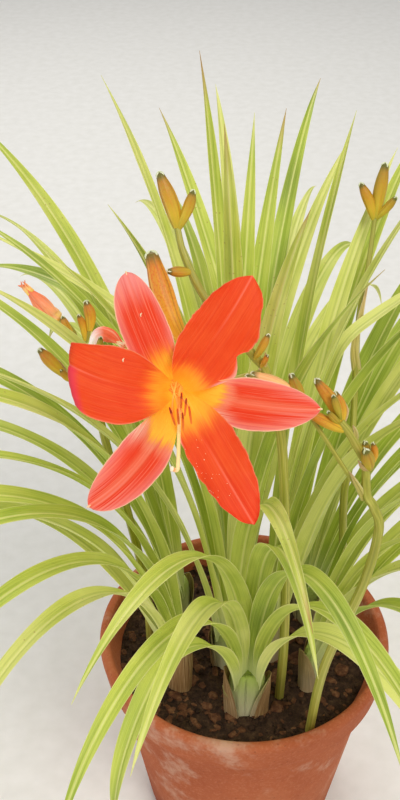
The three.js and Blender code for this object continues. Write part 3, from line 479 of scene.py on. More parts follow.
def petal_material():
    """spot: mm along, mm across, how far from the middle with the gold's end at 20.
    tone: across -1 to 1, own draw, dress: up to 0.5 on a sepal (how pale beside the gold), 1 on a petal,
    1.5 on the petal with a painted crimson sheen along its fold."""
    s = Shade("petal", roughness=0.5, specular=0.14)
    along, over, away = s.attribute("spot")
    across, own, dress = s.attribute("tone")
    petal = dress.step(0.6, 0.9)
    sepal = 1 - petal
    side, from_rib = abs(across), abs(over)

    def streaks(over_scale, along_scale, seed, detail=3):
        return s.noise(s.vector(over * over_scale, along * along_scale, own * seed), detail, 0.6)

    ray = streaks(0.42, 0.018, 53)
    fine = streaks(1.7, 0.03, 29)
    line = streaks(1.15, 0.010, 41, 1)
    cloud = streaks(0.07, 0.05, 17, 2)
    # sepals have two orange-red bands between a paler middle and pink margins, all in fine streaks
    band = (side + ray * 0.22 - 0.11).ramp(
        (0.0, 246, 116, 84), (0.16, 242, 94, 60), (0.36, 237, 58, 24), (0.56, 238, 66, 34),
        (0.78, 240, 104, 86), (1.0, 242, 132, 124))
    blush = sepal * along.step(46, 74) * (line + side * 0.20).step(0.42, 0.66)
    # the least pale sepal is plain red up to its pink tip
    least_pale = dress.step(0.25, 0.12)
    plain = least_pale * (line * 0.3 + side).step(0.95, 0.55) * along.step(66, 50)
    pink_tip = least_pale * (ray * 14 + along).step(54, 76)
    # a soft pink rib grows clearer towards a petal's tip, with a groove on both sides
    rib = (from_rib.step(0.95, 0.25) * 0.65 + from_rib.step(0.40, 0.10) * 0.35) * along.step(34, 72)
    groove = from_rib.step(1.0, 1.5) * from_rib.step(2.3, 1.6) * petal * along.step(34, 66)
    margin = side.step(sepal * -0.025 + 0.955, 0.99)
    near_gold = along.step(16, 26) * along.step(42, 33)
    pale_rim = petal * dress.step(1.4, 1.1) * near_gold * across.step(-0.89, -0.98)
    # painted light: the fold of one petal is crimson on its lower half, a painted sheen for the light
    # through the fold
    past_fold = along + across * (across * 6.5 + 5.1)
    fold = dress.step(1.1, 1.4) * past_fold.step(60, 66) * across.step(-0.08, 0.08)
    # the gold ends in rays: softly on the petals, more abruptly and with pale streaks on the sepals
    reach = away + (ray * 10 - 5) + (fine * 8 - 4) + sepal * dress * across.step(-0.25, -0.75) * 9
    shoulder = reach.step(17.5, 21.5) * reach.step(34, 23) * across.step(-0.35, -0.80)
    pale_end = sepal * dress * reach.step(18, 21) * reach.step(27, 21.5)
    abrupt = sepal * dress.step(0.12, 0.3)
    orange = reach.step(abrupt * -4 + 28, abrupt * -1 + 19)
    gold = reach.step(abrupt * -1 + 23.5, abrupt * 3 + 14.5)
    deep = cloud.ramp((0.3, 250, 162, 42), (0.7, 253, 178, 48)).layered(
        (away.step(7, 16) * (sepal * 0.60 + 0.10), 255, 196, 60),
        (petal * away.step(8, 18) * 0.45, 249, 146, 48),
        (fine.step(0.55, 0.75) * 0.22, 255, 208, 104))
    red = cloud.ramp((0.3, 232, 66, 22), (0.55, 236, 76, 28), (0.8, 240, 88, 34)).layered(
        (petal * along.step(56, 88) * 0.45, 236, 58, 34),
        (sepal * 0.92, band),
        (blush * 0.50, 247, 142, 128),
        (plain * 0.85, 234, 62, 26),
        (pink_tip * 0.95, 246, 146, 138),
        (sepal * line.step(0.54, 0.66) * 0.30, 250, 150, 124),
        (sepal * fine.step(0.58, 0.70) * 0.24, 252, 168, 146),
        # fine veins, paler and darker, all over
        (fine.step(0.50, 0.74) * 0.20, 252, 128, 82),
        (line.step(0.48, 0.34) * 0.20, 218, 46, 18),
        (line.step(0.54, 0.68) * 0.13, 252, 116, 64),
        (rib * (petal * 0.42 + 0.22), 252, 124, 98),
        (groove * 0.28, 222, 48, 26),
        # thin pale margins, creamier on sepals
        (margin * (sepal * 0.56 + 0.24), 254, 208, 166),
        (pale_rim * 0.60, 252, 186, 168),
        (fold * 0.75, 236, 58, 86),
        (shoulder * sepal * dress * fine.step(0.34, 0.62) * 1.9, 255, 222, 190),
        (pale_end, 252, 170, 130),
        (orange * (abrupt * -0.35 + 0.75), 247, 116, 42),
        (gold, deep))
    # painted glow: the throat gives off light as emission, standing in for light through its thin walls and
    # lifting its shade
    painted_glow = gold * away.step(17, 5) * 0.30 + (gold * 0.08 + 0.03) + along.step(16, 4, 0, 0.22)
    bumps = ((over.lines(1.3), 0.05), (fine, 0.20), (s.grain(900, 2), 0.03))
    return s.made(red, *bumps, painted_glow=painted_glow, rough=fine.step(0.2, 0.8, 0.46, 0.60))


def style_material():
    s = Shade("style", roughness=0.4, specular=0.45)
    way = s.attribute("spot")[2]
    grain = s.grain(700, 3)
    colour = way.ramp(
        (0.0, 250, 172, 54), (0.20, 252, 188, 78), (0.36, 254, 204, 116), (0.88, 255, 226, 164),
        (0.955, 246, 158, 84), (1.0, 255, 240, 206))
    # painted glow: a faint emission that lifts the style's shade
    return s.made(colour.layered((grain.step(0.5, 0.8) * 0.2, 255, 240, 200)), (grain, 0.06), painted_glow=0.13)


def filament_material():
    s = Shade("filament", roughness=0.4, specular=0.45)
    _, turn, way = s.attribute("spot")
    grain = s.grain(900, 2)
    # painted shade: the filament is darker orange along two opposite sides
    seam = (turn * (4 * math.pi)).result("COSINE").step(0.2, 0.9)
    colour = way.ramp((0.0, 248, 160, 46), (0.5, 254, 194, 84), (1.0, 240, 130, 44))
    colour = colour.layered((seam, 232, 116, 34), (grain * 0.2, 254, 206, 100))
    # painted glow: emission that grows stronger away from the filament's foot
    return s.made(colour, (grain, 0.04), painted_glow=way.step(0.1, 0.5, 0.06, 0.20))


def anther_material():
    """spot: mm along, turn in turns, way along. tone: how dark the start is."""
    s = Shade("anther", roughness=0.75, specular=0.25)
    way, dark = s.attribute("spot")[2], s.attribute("tone")[0]
    grain = s.grain(1600, 3, 0.7)
    wander = way + grain * 0.3 - 0.15
    colour = wander.ramp((0.0, 206, 84, 26), (0.5, 222, 100, 34), (1.0, 232, 120, 44))
    colour = colour.layered((dark * wander.step(0.44, 0.28), 148, 38, 12))
    # painted glow: a faint emission over the anther
    return s.made(colour, (grain, 0.12), painted_glow=0.12)


def tube_material():
    s = Shade("bloom_tube", roughness=0.45, specular=0.4)
    along, turn, way = s.attribute("spot")
    streak = s.noise(s.vector(turn * 40, along * 0.05, 0.0), 3)
    colour = way.ramp((0.0, 170, 176, 70), (0.5, 216, 190, 72), (1.0, 250, 170, 56))
    colour = colour.layered((streak * 0.3, 250, 214, 120))
    # painted glow: emission near the throat end of the tube, lifting the throat's shade
    return s.made(colour, (streak, 0.2), painted_glow=way.step(0.93, 1.0, 0.0, 0.26))


def bract_material():
    """spot: mm along, turn in turns, way along. tone: how dry, own draw."""
    s = Shade("bract", roughness=0.6, specular=0.35)
    along, turn, way = s.attribute("spot")
    dry, own, _ = s.attribute("tone")
    fibre = s.noise(s.vector(turn * 30, along * 0.08, own), 4)
    fresh = way.ramp((0.0, 168, 172, 66), (0.6, 202, 198, 98), (1.0, 238, 206, 150))
    old = fibre.ramp((0.3, 226, 168, 104), (0.55, 248, 210, 154), (0.8, 255, 232, 186))
    rust = fibre.step(0.52, 0.70) * dry * way.step(0.2, 0.9)
    edge = abs(turn.on_ring()[0]).step(0.88, 0.99)
    colour = fresh.layered((dry, old), (rust * 0.6, 226, 104, 44), (edge * 0.7, 248, 240, 200))
    return s.made(colour, (turn.lines(0.035), 0.10), (fibre, 0.2))


def withered_material():
    """spot: mm along, turn in turns, way along. tone: how pale, own draw, height of ridge."""
    s = Shade("withered", roughness=0.55, specular=0.35, sheen=0.1)
    along, turn, way = s.attribute("spot")
    paler, own, ridge = s.attribute("tone")
    x, y = turn.on_ring()
    streak = s.noise(s.vector(x * 3, y * 3 + own, along * 0.08), 4, 0.6)
    wander = way + streak * 0.24 - 0.12
    fresh = wander.ramp(
        (0.0, 236, 190, 62), (0.18, 252, 208, 110), (0.42, 254, 190, 122), (0.7, 251, 150, 100),
        (1.0, 244, 118, 78))
    faded = wander.ramp(
        (0.0, 255, 236, 214), (0.34, 255, 244, 240), (0.50, 250, 190, 178), (0.62, 238, 104, 64),
        (0.92, 236, 92, 52), (1.0, 168, 156, 60))
    colour = fresh.layered(
        (paler, faded),
        (streak.step(0.46, 0.7) * 0.40, 255, 214, 176),
        (ridge.step(0.45, 0.0) * 0.35, 226, 104, 62))
    # painted glow: emission, stronger on the paler bloom, lifting its shade
    return s.made(colour, (streak, 0.30), painted_glow=paler * 0.16 + 0.08)


def grain_material(name, roughness, specular, scale, detail, low, high, depth):
    s = Shade(name, roughness, specular)
    grain = s.grain(scale, detail)
    return s.made(grain.ramp((0.3, *low), (0.7, *high)), (grain, depth))


def clay_material():
    s = Shade("terracotta", roughness=0.88, specular=0.25)
    broad, grit, drift = s.grain(9, 4, 0.6), s.grain(420, 3, 0.7), s.grain(22, 5, 0.65)
    pits = s.cells(s.place(), 260).step(0.16, 0.04)
    height = s.split(s.place())[2]
    level = height + drift * 0.10 - 0.05
    salt = drift.step(0.52, 0.70) * level.step(0.03, 0.10)
    colour = broad.ramp((0.28, 168, 84, 50), (0.5, 186, 100, 62), (0.74, 202, 122, 82)).layered(
        (grit.step(0.45, 0.75) * 0.35, 214, 146, 106),
        (pits * 0.5, 120, 60, 38),
        # damp darkens the foot of the wall, with a pale mineral bloom above it
        (level.step(0.075, 0.012) * 0.45, 132, 66, 44),
        (salt * 0.5, 226, 196, 172))
    turning = (height + broad * 0.0006).lines(0.0019)
    bumps = ((turning, 0.10), (grit, 0.22), (pits, 0.35))
    return s.made(colour, *bumps, rough=drift.step(0.3, 0.7, 0.80, 0.94))


def soil_material(name, dark, middle, pale, depth):
    s = Shade(name, roughness=0.95, specular=0.2)
    crumb, speck = s.grain(160, 5, 0.7), s.grain(620, 3, 0.7)
    colour = crumb.ramp((0.3, *dark), (0.5, *middle), (0.72, *pale))
    colour = colour.layered((speck.step(0.55, 0.8) * 0.35, 128, 100, 72))
    return s.made(colour, (crumb, depth), (speck, depth * 0.4))


LEAF = leaf_material()
SHEATH = sheath_material()
STALK = stalk_material()
BUD = bud_material()
PETAL = petal_material()
STYLE = style_material()
FILAMENT = filament_material()
ANTHER = anther_material()
TUBE = tube_material()
BRACT = bract_material()
WITHERED = withered_material()
POLLEN = grain_material("pollen", 0.8, 0.3, 2500, 2, (248, 196, 130), (255, 236, 206), 0.04)
HORN = grain_material("bud_tip", 0.5, 0.4, 800, 2, (206, 214, 160), (246, 248, 222), 0.05)
NIB = grain_material("sepal_nib", 0.5, 0.4, 800, 2, (250, 196, 140), (255, 232, 190), 0.05)
FLOOR = grain_material("floor", 0.9, 0.2, 60, 4, (238, 237, 232), (245, 244, 240), 0.1)
CLAY = clay_material()
SOIL = soil_material("soil", (34, 24, 18), (62, 44, 32), (92, 70, 50), 1.2)
BARK = soil_material("bark", (58, 36, 24), (98, 64, 42), (140, 102, 70), 0.5)


# ---- stalks, as in the part ----

bloom_axis = np.array([0, -math.cos(BLOOM_TILT), math.sin(BLOOM_TILT)])
bloom_right = np.array([1.0, 0, 0])
bloom_up = np.array([0, math.sin(BLOOM_TILT), math.cos(BLOOM_TILT)])


def bloom_place(right, up, forward):
    return BLOOM_CENTRE + bloom_right * right + bloom_up * up + bloom_axis * forward


def before_foot(distance):
    """A point behind the foot of the bloom's tube."""
    return bloom_place(0, 0, -TUBE_BACK) - bloom_axis * distance


# the radius at even steps from a bud's foot to its blunt tip: at rest, and about to open
BUD_SHAPE = (0.5, 0.84, 1.0, 0.95, 0.55)
OPENING_SHAPE = (0.4, 0.62, 0.84, 1.0, 0.62)

# stems are (path, radius at the start, radius at the end); buds are (path, radius, ripeness), with a shape
# if it isn't the one at rest; bracts are (path, radius, dryness)
STALKS = {
    "stalk_main": {
        "stems": [
            ([(26, -44, ROOT_Z), (26, -62, 230), (22, -78, 330), (17, -89, 408), (12.5, -88, 452),
              (3.5, -89, 490.5), (-4, -89, 502), (-19.5, -84, 520), (-32, -78, 534), (-40, -71.5, 547),
              (-45, -65.5, 558), (-48, -58.5, 569.5)], 3.6, 1.8),
            ([(2.5, -88.5, 491), (-22, -93, 486), before_foot(8), before_foot(GAP)], 2.2, 2.6),
            ([(-13.5, -85.5, 512), (-29.5, -96, 513), (-42, -105, 518)], 1.9, 2.4),
        ],
        "buds": [
            ([(-40.5, -103.5, 517), (-47, -101.5, 526), (-54.5, -91, 541), (-61.5, -77, 560)], 6.2, 1.0,
             OPENING_SHAPE),
            ([(-4, -90.5, 501.5), (0, -93.5, 511.5), (3, -92, 518)], 2.4, 0.45),
            ([(0, -91, 496), (1.5, -94, 502), (3, -94.5, 506)], 1.7, 0.9),
            ([(-40.5, -71, 547), (-46, -77, 550.5), (-52, -81, 553)], 3.0, 0.7),
            ([(-48, -59, 568.5), (-51, -54.5, 580), (-57, -49.5, 595.5)], 4.4, 0.45),
            ([(-47.5, -59.5, 567.5), (-42, -55.5, 578.5), (-39, -54, 587.5)], 3.2, 0.3),
        ],
        "bracts": [
            ([(13.5, -88.5, 448.5), (16.5, -90.5, 465.5), (18.5, -91.5, 479.5)], 3.2, 0.2),
            ([(-9, -87, 507.5), (-10, -81, 520), (-8, -77, 530)], 2.8, 0.3),
            ([(0.5, -90, 493.5), (2, -92, 501), (2, -92, 506.5)], 2.0, 0.7),
        ],
        "dark": 0.1,
    },
    "stalk_right": {
        "stems": [
            ([(46, -78, ROOT_Z), (52, -92, 240), (70, -102.5, 330), (74.5, -112.5, 388), (70, -112, 407.5),
              (65, -111, 416.5), (64, -107, 429), (63.5, -104.5, 439.5)], 3.4, 2.6),
            ([(63.5, -105, 437.5), (57.5, -104, 448), (52, -102, 457.5), (46.5, -101, 464.5)], 2.8, 2.4),
            ([(65, -110.5, 414), (55, -108.5, 427.5), (46, -105, 441), (31.5, -101, 464), (24, -101.5, 478)],
             1.4, 1.3),
        ],
        "buds": [
            ([(24, -101.5, 476.5), (21, -100.5, 485.5), (17, -99, 495)], 3.4, 0.35),
            ([(24, -101, 477), (11, -100.5, 489.5), (-5, -101, 497.5)], 3.7, 1.8),
            ([(23, -102.5, 477), (8, -104.5, 487.5), (-8.5, -105.5, 499.5)], 2.6, 0.1),
            ([(46.5, -100.5, 464), (41.5, -98.5, 476), (32, -96, 489.5)], 3.9, 0.75),
            ([(47.5, -100.5, 463), (47, -96.5, 471), (43.5, -94.5, 479.5)], 3.3, 0.85),
            ([(46.5, -101, 466.5), (43, -104.5, 478.5), (41, -104.5, 485)], 2.3, 0.05),
            ([(46.5, -101.5, 463), (42, -105, 470), (38.5, -106, 475)], 2.0, 0.1),
            ([(48.5, -102, 458.5), (39, -103.5, 465.5), (27.5, -105.5, 474)], 3.4, 0.85),
            ([(66, -106.5, 433.5), (63.5, -110.5, 443.5), (61, -113.5, 452.5)], 3.9, 0.2),
            ([(64, -104, 437), (63, -102.5, 444), (62, -103.5, 450.5)], 2.8, 0.2),
            ([(66.5, -105.5, 435), (68, -105.5, 443.5), (66.5, -105, 451)], 2.2, 0.8),
        ],
        "bracts": [
            ([(64, -111, 413.5), (58.5, -111.5, 425), (53.5, -110, 434)], 2.6, 0.25),
            ([(55.5, -103.5, 450.5), (56, -103, 457.5), (54, -102, 462.5)], 2.2, 0.3),
            ([(48.5, -99.5, 463), (50.5, -97.5, 469.5), (49, -96, 475)], 1.8, 0.8),
            ([(65, -106.5, 432), (60.5, -110.5, 438), (57.5, -111, 443.5)], 2.2, 0.8),
        ],
        "dark": 0.1,
    },
    "stalk_back": {
        "stems": [
            ([(80, 0, ROOT_Z), (75, 1, 230), (69.5, -1, 317), (72, 4, 341.5), (73.5, 13, 370),
              (74.5, 32, 410), (76, 49, 440), (82, 68, 469), (87, 88, 502)], 3.3, 1.6),
        ],
        "buds": [
            ([(87, 87, 500), (89, 93, 515), (92, 98, 534)], 4.6, 0.3),
            ([(86, 87, 499), (82, 89, 511), (76, 91, 523)], 3.8, 0.5),
            ([(87, 87, 499), (94, 86, 508), (99, 85, 516)], 2.9, 0.2),
        ],
        "bracts": [([(75, 32, 410), (73, 36.5, 425.5), (77, 47.5, 445.5), (81.5, 58, 464)], 3.5, 0.35)],
        "dark": 0.2,
    },
    "stalk_left": {
        "stems": [
            ([(-74, 0, ROOT_Z), (-76, -14, 240), (-86, -28, 330), (-96, -31, 383), (-103, -23, 415),
              (-111, -16, 439), (-115.5, -9, 453.5), (-117, -5, 461)], 3.4, 2.2),
            ([(-117.5, -5.5, 460), (-119, -3.5, 463.5), (-123, -1.5, 467.5), (-126.5, 0, 470)], 2.8, 3.2),
            ([(-115, -10, 452), (-110, -11, 451), (-106.5, -10.5, 455.5)], 1.8, 2.3),
            ([(-111, -16, 437.5), (-117.5, -21.5, 437), (-124.5, -22.5, 443.5)], 1.7, 1.5),
            ([(-114.5, -9, 453), (-109.5, -5, 458.5), (-107.5, -2, 464)], 1.5, 1.4),
            ([(-112, -14.5, 442), (-106, -19, 449), (-101.5, -20, 457)], 1.3, 1.4),
        ],
        "buds": [
            ([(-123.5, -22.5, 443), (-131, -20.5, 451.5), (-137.5, -18, 458.5)], 4.1, 0.7),
            ([(-119, -22, 438), (-122, -23.5, 442.5), (-125, -23.5, 447)], 2.4, 0.45),
            ([(-118.5, -4.5, 463), (-121.5, -5.5, 469.5), (-123.5, -4, 475)], 2.6, 0.6),
            ([(-107, -2.5, 464), (-106.5, 1.5, 473), (-108.5, 4, 481)], 3.7, 0.9),
            ([(-110, -5.5, 458.5), (-111.5, -1.5, 468), (-113.5, -1, 474.5)], 2.4, 0.8),
            ([(-101.7, -20, 456.5), (-99.5, -20.5, 463), (-98.5, -19.5, 469.5)], 2.3, 0.05),
        ],
        "bracts": [
            ([(-109, -17, 434), (-107.5, -19.5, 444.5), (-104.5, -21.5, 453.5)], 3.0, 0.4),
            ([(-120, -21.5, 438.5), (-125, -16.5, 446.5), (-129.5, -14.5, 451.5)], 1.5, 0.9),
        ],
        "dark": 0.1,
    },
}


def add_bud(buds, horns, own, path, radius, ripe, shape=BUD_SHAPE):
    """A bud of three outer tepals, each with a raised back, that meet in a blunt three-pronged tip."""
    big = float(smooth(3.0, 6.4, radius))
    seam_depth = 0.07 + 0.05 * big
    profile = Curve([(k, share, 0) for k, share in enumerate(shape)])
    length = Curve(path).length()
    turns = around(36)
    seam = bell((3 * turns / (2 * np.pi) + own) % 1 - 0.5, 0.07)
    rings, spots, tones = [], [], []
    for way, centre, across, other, tangent in frames(path, 22):
        swell = math.sin(math.pi * min(1, 0.12 + 0.85 * way))
        wave = 0.03 * np.cos(3 * turns + 0.5 * way) + (0.015 + 0.04 * big) * np.cos(9 * turns + 1.3 * way)
        reach = (1 + (wave - seam_depth * seam) * swell) * radius * profile.at(way)[1]
        rings.append(ring(centre, across, other, reach, turns))
        spots.append(vectors(way * length, turns / (2 * np.pi), way))
        tones.append(vectors(ripe, own, 0.5 + 5.5 * wave - 0.6 * seam))
    # the rounded tip carries the last ring on in a flat dome
    tip_radius, dome = radius * shape[-1], radius * 0.42
    for share in (0.25, 0.5, 0.75, 0.92, 1.0):
        reach = (1 - 0.10 * seam) * tip_radius * math.sqrt(1.0001 - share**2)
        rings.append(ring(centre + tangent * dome * share, across, other, reach, turns))
        spots.append(vectors(length + dome * share, turns / (2 * np.pi), 1 + 0.1 * share))
        tones.append(vectors(ripe, own, 0.5 - 0.4 * seam))
    buds.loft(rings, spots, tones)
    # a pale prong ends each tepal, laid over the dome towards its middle
    prong_radius = lambda way, _: radius * (0.05 + 0.10 * math.sin(math.pi * (0.10 + 0.75 * way)))
    for k in range(3):
        angle = 2 * math.pi * (k + own) / 3
        out = across * math.cos(angle) + other * math.sin(angle)
        prong = []
        for share, lift in ((-0.12, 0.97), (0.55, 1.02), (0.90, 1.08), (1.02, 1.30)):
            off = tip_radius * (1.0 if share < 0 else math.sqrt(max(0.03, 1 - share**2)))
            prong.append(centre + out * off * min(1.0, lift) + tangent * dome * share * lift)
        tube(horns, prong, prong_radius, 8, 8, (own, 0, 0))


def add_bract(bracts, own, path, radius, dry):
    """A cupped, pointed scale clasping the stem."""
    length = Curve(path).length()
    turns = around(24)
    rings, spots = [], []
    for way, centre, across, other, _ in frames(path, 16):
        flat = 0.30 + 0.70 * np.abs(np.cos(turns)) ** 1.3
        reach = radius * flat * (1 - 0.88 * way**1.5) * (1 + 0.05 * np.sin(9 * turns + 7 * way))
        cup = 0.25 * radius * (1 - way) * np.cos(turns) ** 2
        rings.append(ring(centre, across, other, reach, turns) + other * cup[:, None] * 0.4)
        spots.append(vectors(way * length, turns / (2 * np.pi), way))
    bracts.loft(rings, spots, (dry, own, 0))


def make_stalk(number, name, stalk):
    stems, buds, horns, bracts = Piece(), Piece(), Piece(), Piece()
    for k, (path, start, end) in enumerate(stalk["stems"]):
        own = draw(number * 20 + k, 31)

        def radius_at(way, turns):
            ridge = 1 + 0.035 * np.cos(5 * turns + own * 6) + 0.02 * np.cos(11 * turns)
            joint = 1 + 0.10 * bell(way - 0.78, 0.02) * (start > 3)
            return (start + (end - start) * way) * ridge * joint

        steps = int(Curve(path).length() / 5) + 6
        tube(stems, path, radius_at, 20, steps, (stalk["dark"], own, 0.25 + 0.35 * (k > 0)), start=40.0 * k)
    for k, bud in enumerate(stalk["buds"]):
        add_bud(buds, horns, draw(number * 20 + k, 32), *bud)
    for k, bract in enumerate(stalk["bracts"]):
        add_bract(bracts, draw(number * 20 + k, 33), *bract)
    stems.make(f"{name}_stems", STALK, "stalk", name)
    buds.make(f"{name}_buds", BUD, "stalk", name)
    horns.make(f"{name}_bud_tips", HORN, "stalk", name)
    bracts.make(f"{name}_bracts", BRACT, "stalk", name)


for number, (name, stalk) in enumerate(STALKS.items()):
    make_stalk(number, name, stalk)


# ---- withered blooms ----

SEAT_RADIUS = 2.6
# name, number of the stem that it sits on, path, radius, how pale
WITHERED_BLOOMS = [
    ("withered_bloom_left", 1, [(-135, 2.5, 478.5), (-147.5, 7, 491)], 5.2, 0.0),
    ("withered_bloom_inner", 2, [(-99, -9, 466), (-92, -12.5, 466.5), (-85, -17.5, 463)], 4.4, 1.0),
]


def seated_path(stem_number, rest):
    curve = Curve(STALKS["stalk_left"]["stems"][stem_number][0])
    end, tangent = curve.at(1), curve.tangent(1)
    return [end + tangent * GAP, end + tangent * (GAP + 5), *rest]


def make_withered(number, name, stem_number, rest, radius, paler):
    path = seated_path(stem_number, rest)
    length = Curve(path).length()
    body, turns = Piece(), around(54)
    rings, spots, tones = [], [], []
    for way, end, across, other, tangent in frames(path, 44):
        belly = 0.5 + 0.5 * math.sin(math.pi * min(1, way * 0.75 + 0.12))
        ridge = np.cos(3 * turns + 5 * way)
        crumple = np.cos(8 * turns - 7 * way + number) * (0.4 + 0.6 * way)
        crumple = crumple + 0.6 * np.cos(13 * turns + 9 * way)
        start = float(smooth(0.0, 0.10, way))
        spread = belly * (1 - 0.6 * float(smooth(0.75, 1, way)))
        reach = radius * spread * (1 + 0.20 * ridge + 0.07 * crumple) * start + SEAT_RADIUS * (1 - start)
        sag = 0.5 * np.sin(9 * way + 2 * turns) * start
        rings.append(ring(end, across, other, reach, turns) + tangent * sag[:, None])
        spots.append(vectors(way * length, turns / (2 * np.pi), way))
        tones.append(vectors(paler, number * 3.7, 0.5 + 0.4 * ridge + 0.1 * crumple))
    body.loft(rings, spots, tones)
    # five frayed petal ends twist together past the body
    frayed = lambda way, turns: radius * (0.24 - 0.17 * way) * (1 + 0.45 * np.cos(2 * turns + 3 * way))
    for k in range(5):
        angle = 2 * math.pi * k / 5 + number
        out = across * math.cos(angle) + other * math.sin(angle)
        turn_out = across * math.cos(angle + 1.2) + other * math.sin(angle + 1.2)
        reach = radius * (0.9 + 0.5 * draw(number * 7 + k, 41))
        points = [
            end - tangent * radius * 0.9 + out * radius * 0.22,
            end + tangent * reach * 0.15 + out * radius * 0.30,
            end + tangent * reach * 0.75 + turn_out * radius * 0.55,
        ]
        tube(body, points, frayed, 12, 10, (paler * 0.4, number * 3.7 + k, 0.5))
    body.make(f"{name}_body", WITHERED, "withered", name)


for number, withered in enumerate(WITHERED_BLOOMS):
    make_withered(number, *withered)


# ---- the open bloom ----

# as in the part; waves and nick are the margin's own, with the side they are on; crimp is how crimped the
# margin is; gold is how far the gold reaches from the middle of the face, in millimetres; dress is read by
# the material
TEPAL_FORM = dict(curls=(0.6, 1), skew=0, corner=0, nick=(1, 0, 0, 1), waves=(1, 0, 1, 0), dress=1.0)
SEPAL_FORM = dict(TEPAL_FORM, foot=5.2, foot_width=0.22, wide_at=0.55, flat_at=0.55, groove=0.0, ruffle=0.8,
                  flare=(24, 84), crimp=0.35)
PETAL_FORM = dict(TEPAL_FORM, foot=3.0, foot_width=0.24, wide_at=0.42, flat_at=0.38, groove=1.2, ruffle=2.4,
                  flare=(18, 80), crimp=1.0)
TEPALS = [
    dict(SEPAL_FORM, turn=119, sweep=-12, length=69.5, half=12.6, wide_at=0.45, curl=14, blunt=(2.7, 0.6),
         lean=0.07, gold=23, dress=0.08),
    dict(SEPAL_FORM, turn=-15.5, sweep=14.5, length=82, half=14, curl=10, blunt=(2.4, 0.72), lean=-0.02,
         gold=22.5, dress=0.5),
    dict(SEPAL_FORM, turn=-103, sweep=-46, length=84, half=13.3, curl=14, blunt=(2.8, 0.62), lean=-0.03,
         gold=28, dress=0.4),
    dict(PETAL_FORM, turn=47.5, sweep=15, length=80, half=17.8, curl=16, blunt=(2.4, 0.7), lean=-0.09,
         gold=14.5, waves=(-1, 0.07, 0.27, 0.93), nick=(-1, 0.505, 0.16, 0.04)),
    dict(PETAL_FORM, turn=-61, sweep=2, length=92, half=14.2, wide_at=0.5, curl=12, blunt=(2.6, 0.68),
         lean=0.14, gold=21, waves=(-1, 0.03, 0.11, 0.5)),
    dict(PETAL_FORM, turn=187, sweep=-50, length=93, half=20, ruffle=1.2, curl=116, curls=(0.65, 0.79),
         skew=-0.055, corner=0.07, blunt=(1.3, 0.9), lean=0.06, gold=17.5, dress=1.5, crimp=0.35),
]
TEPAL_STEPS = 60
TEPAL_WAY = np.linspace(0, 1, TEPAL_STEPS + 1)
PETAL_THICKNESS = 0.55
SPREAD_AT = 0.45


def outward(turn):
    return bloom_right * math.cos(turn) + bloom_up * math.sin(turn)


def tepal_line(tepal, across):
    """The line that a strip of a tepal follows: centres, face normals and sideways directions."""
    later = tepal["skew"] * across - tepal["corner"] * max(0, across) ** 2
    low, high = tepal["curls"][0] + later, tepal["curls"][1] + later
    centre = bloom_place(*THROAT, -TUBE_END - 2) + outward(rad(tepal["turn"])) * tepal["foot"]
    centres, faces, sides = [], [], []
    for i in range(TEPAL_STEPS + 1):
        q = i / TEPAL_STEPS
        spread = (tepal["flare"][1] - tepal["flare"][0]) * float(smooth(0, SPREAD_AT, q))
        flare = rad(tepal["flare"][0] + spread + tepal["curl"] * float(smooth(low, high, q)))
        turn = rad(tepal["turn"] + tepal["sweep"] * q)
        out = outward(turn)
        centres.append(centre)
        faces.append(out * -math.cos(flare) + bloom_axis * math.sin(flare))
        sides.append(outward(turn + math.pi / 2))
        ahead = out * math.sin(flare) + bloom_axis * math.cos(flare)
        centre = centre + ahead * (tepal["length"] / TEPAL_STEPS)
    return np.array(centres), np.array(faces), np.array(sides)


def tepal_half(tepal, q, least=0.8):
    widening = tepal["foot_width"] + (1 - tepal["foot_width"]) * smooth(0, tepal["wide_at"], q)
    power, root = tepal["blunt"]
    closing = np.where(q < 0.5, 1, (1 - (np.maximum(q - 0.5, 0) / 0.5) ** power) ** root)
    return np.maximum(least, tepal["half"] * widening * closing)


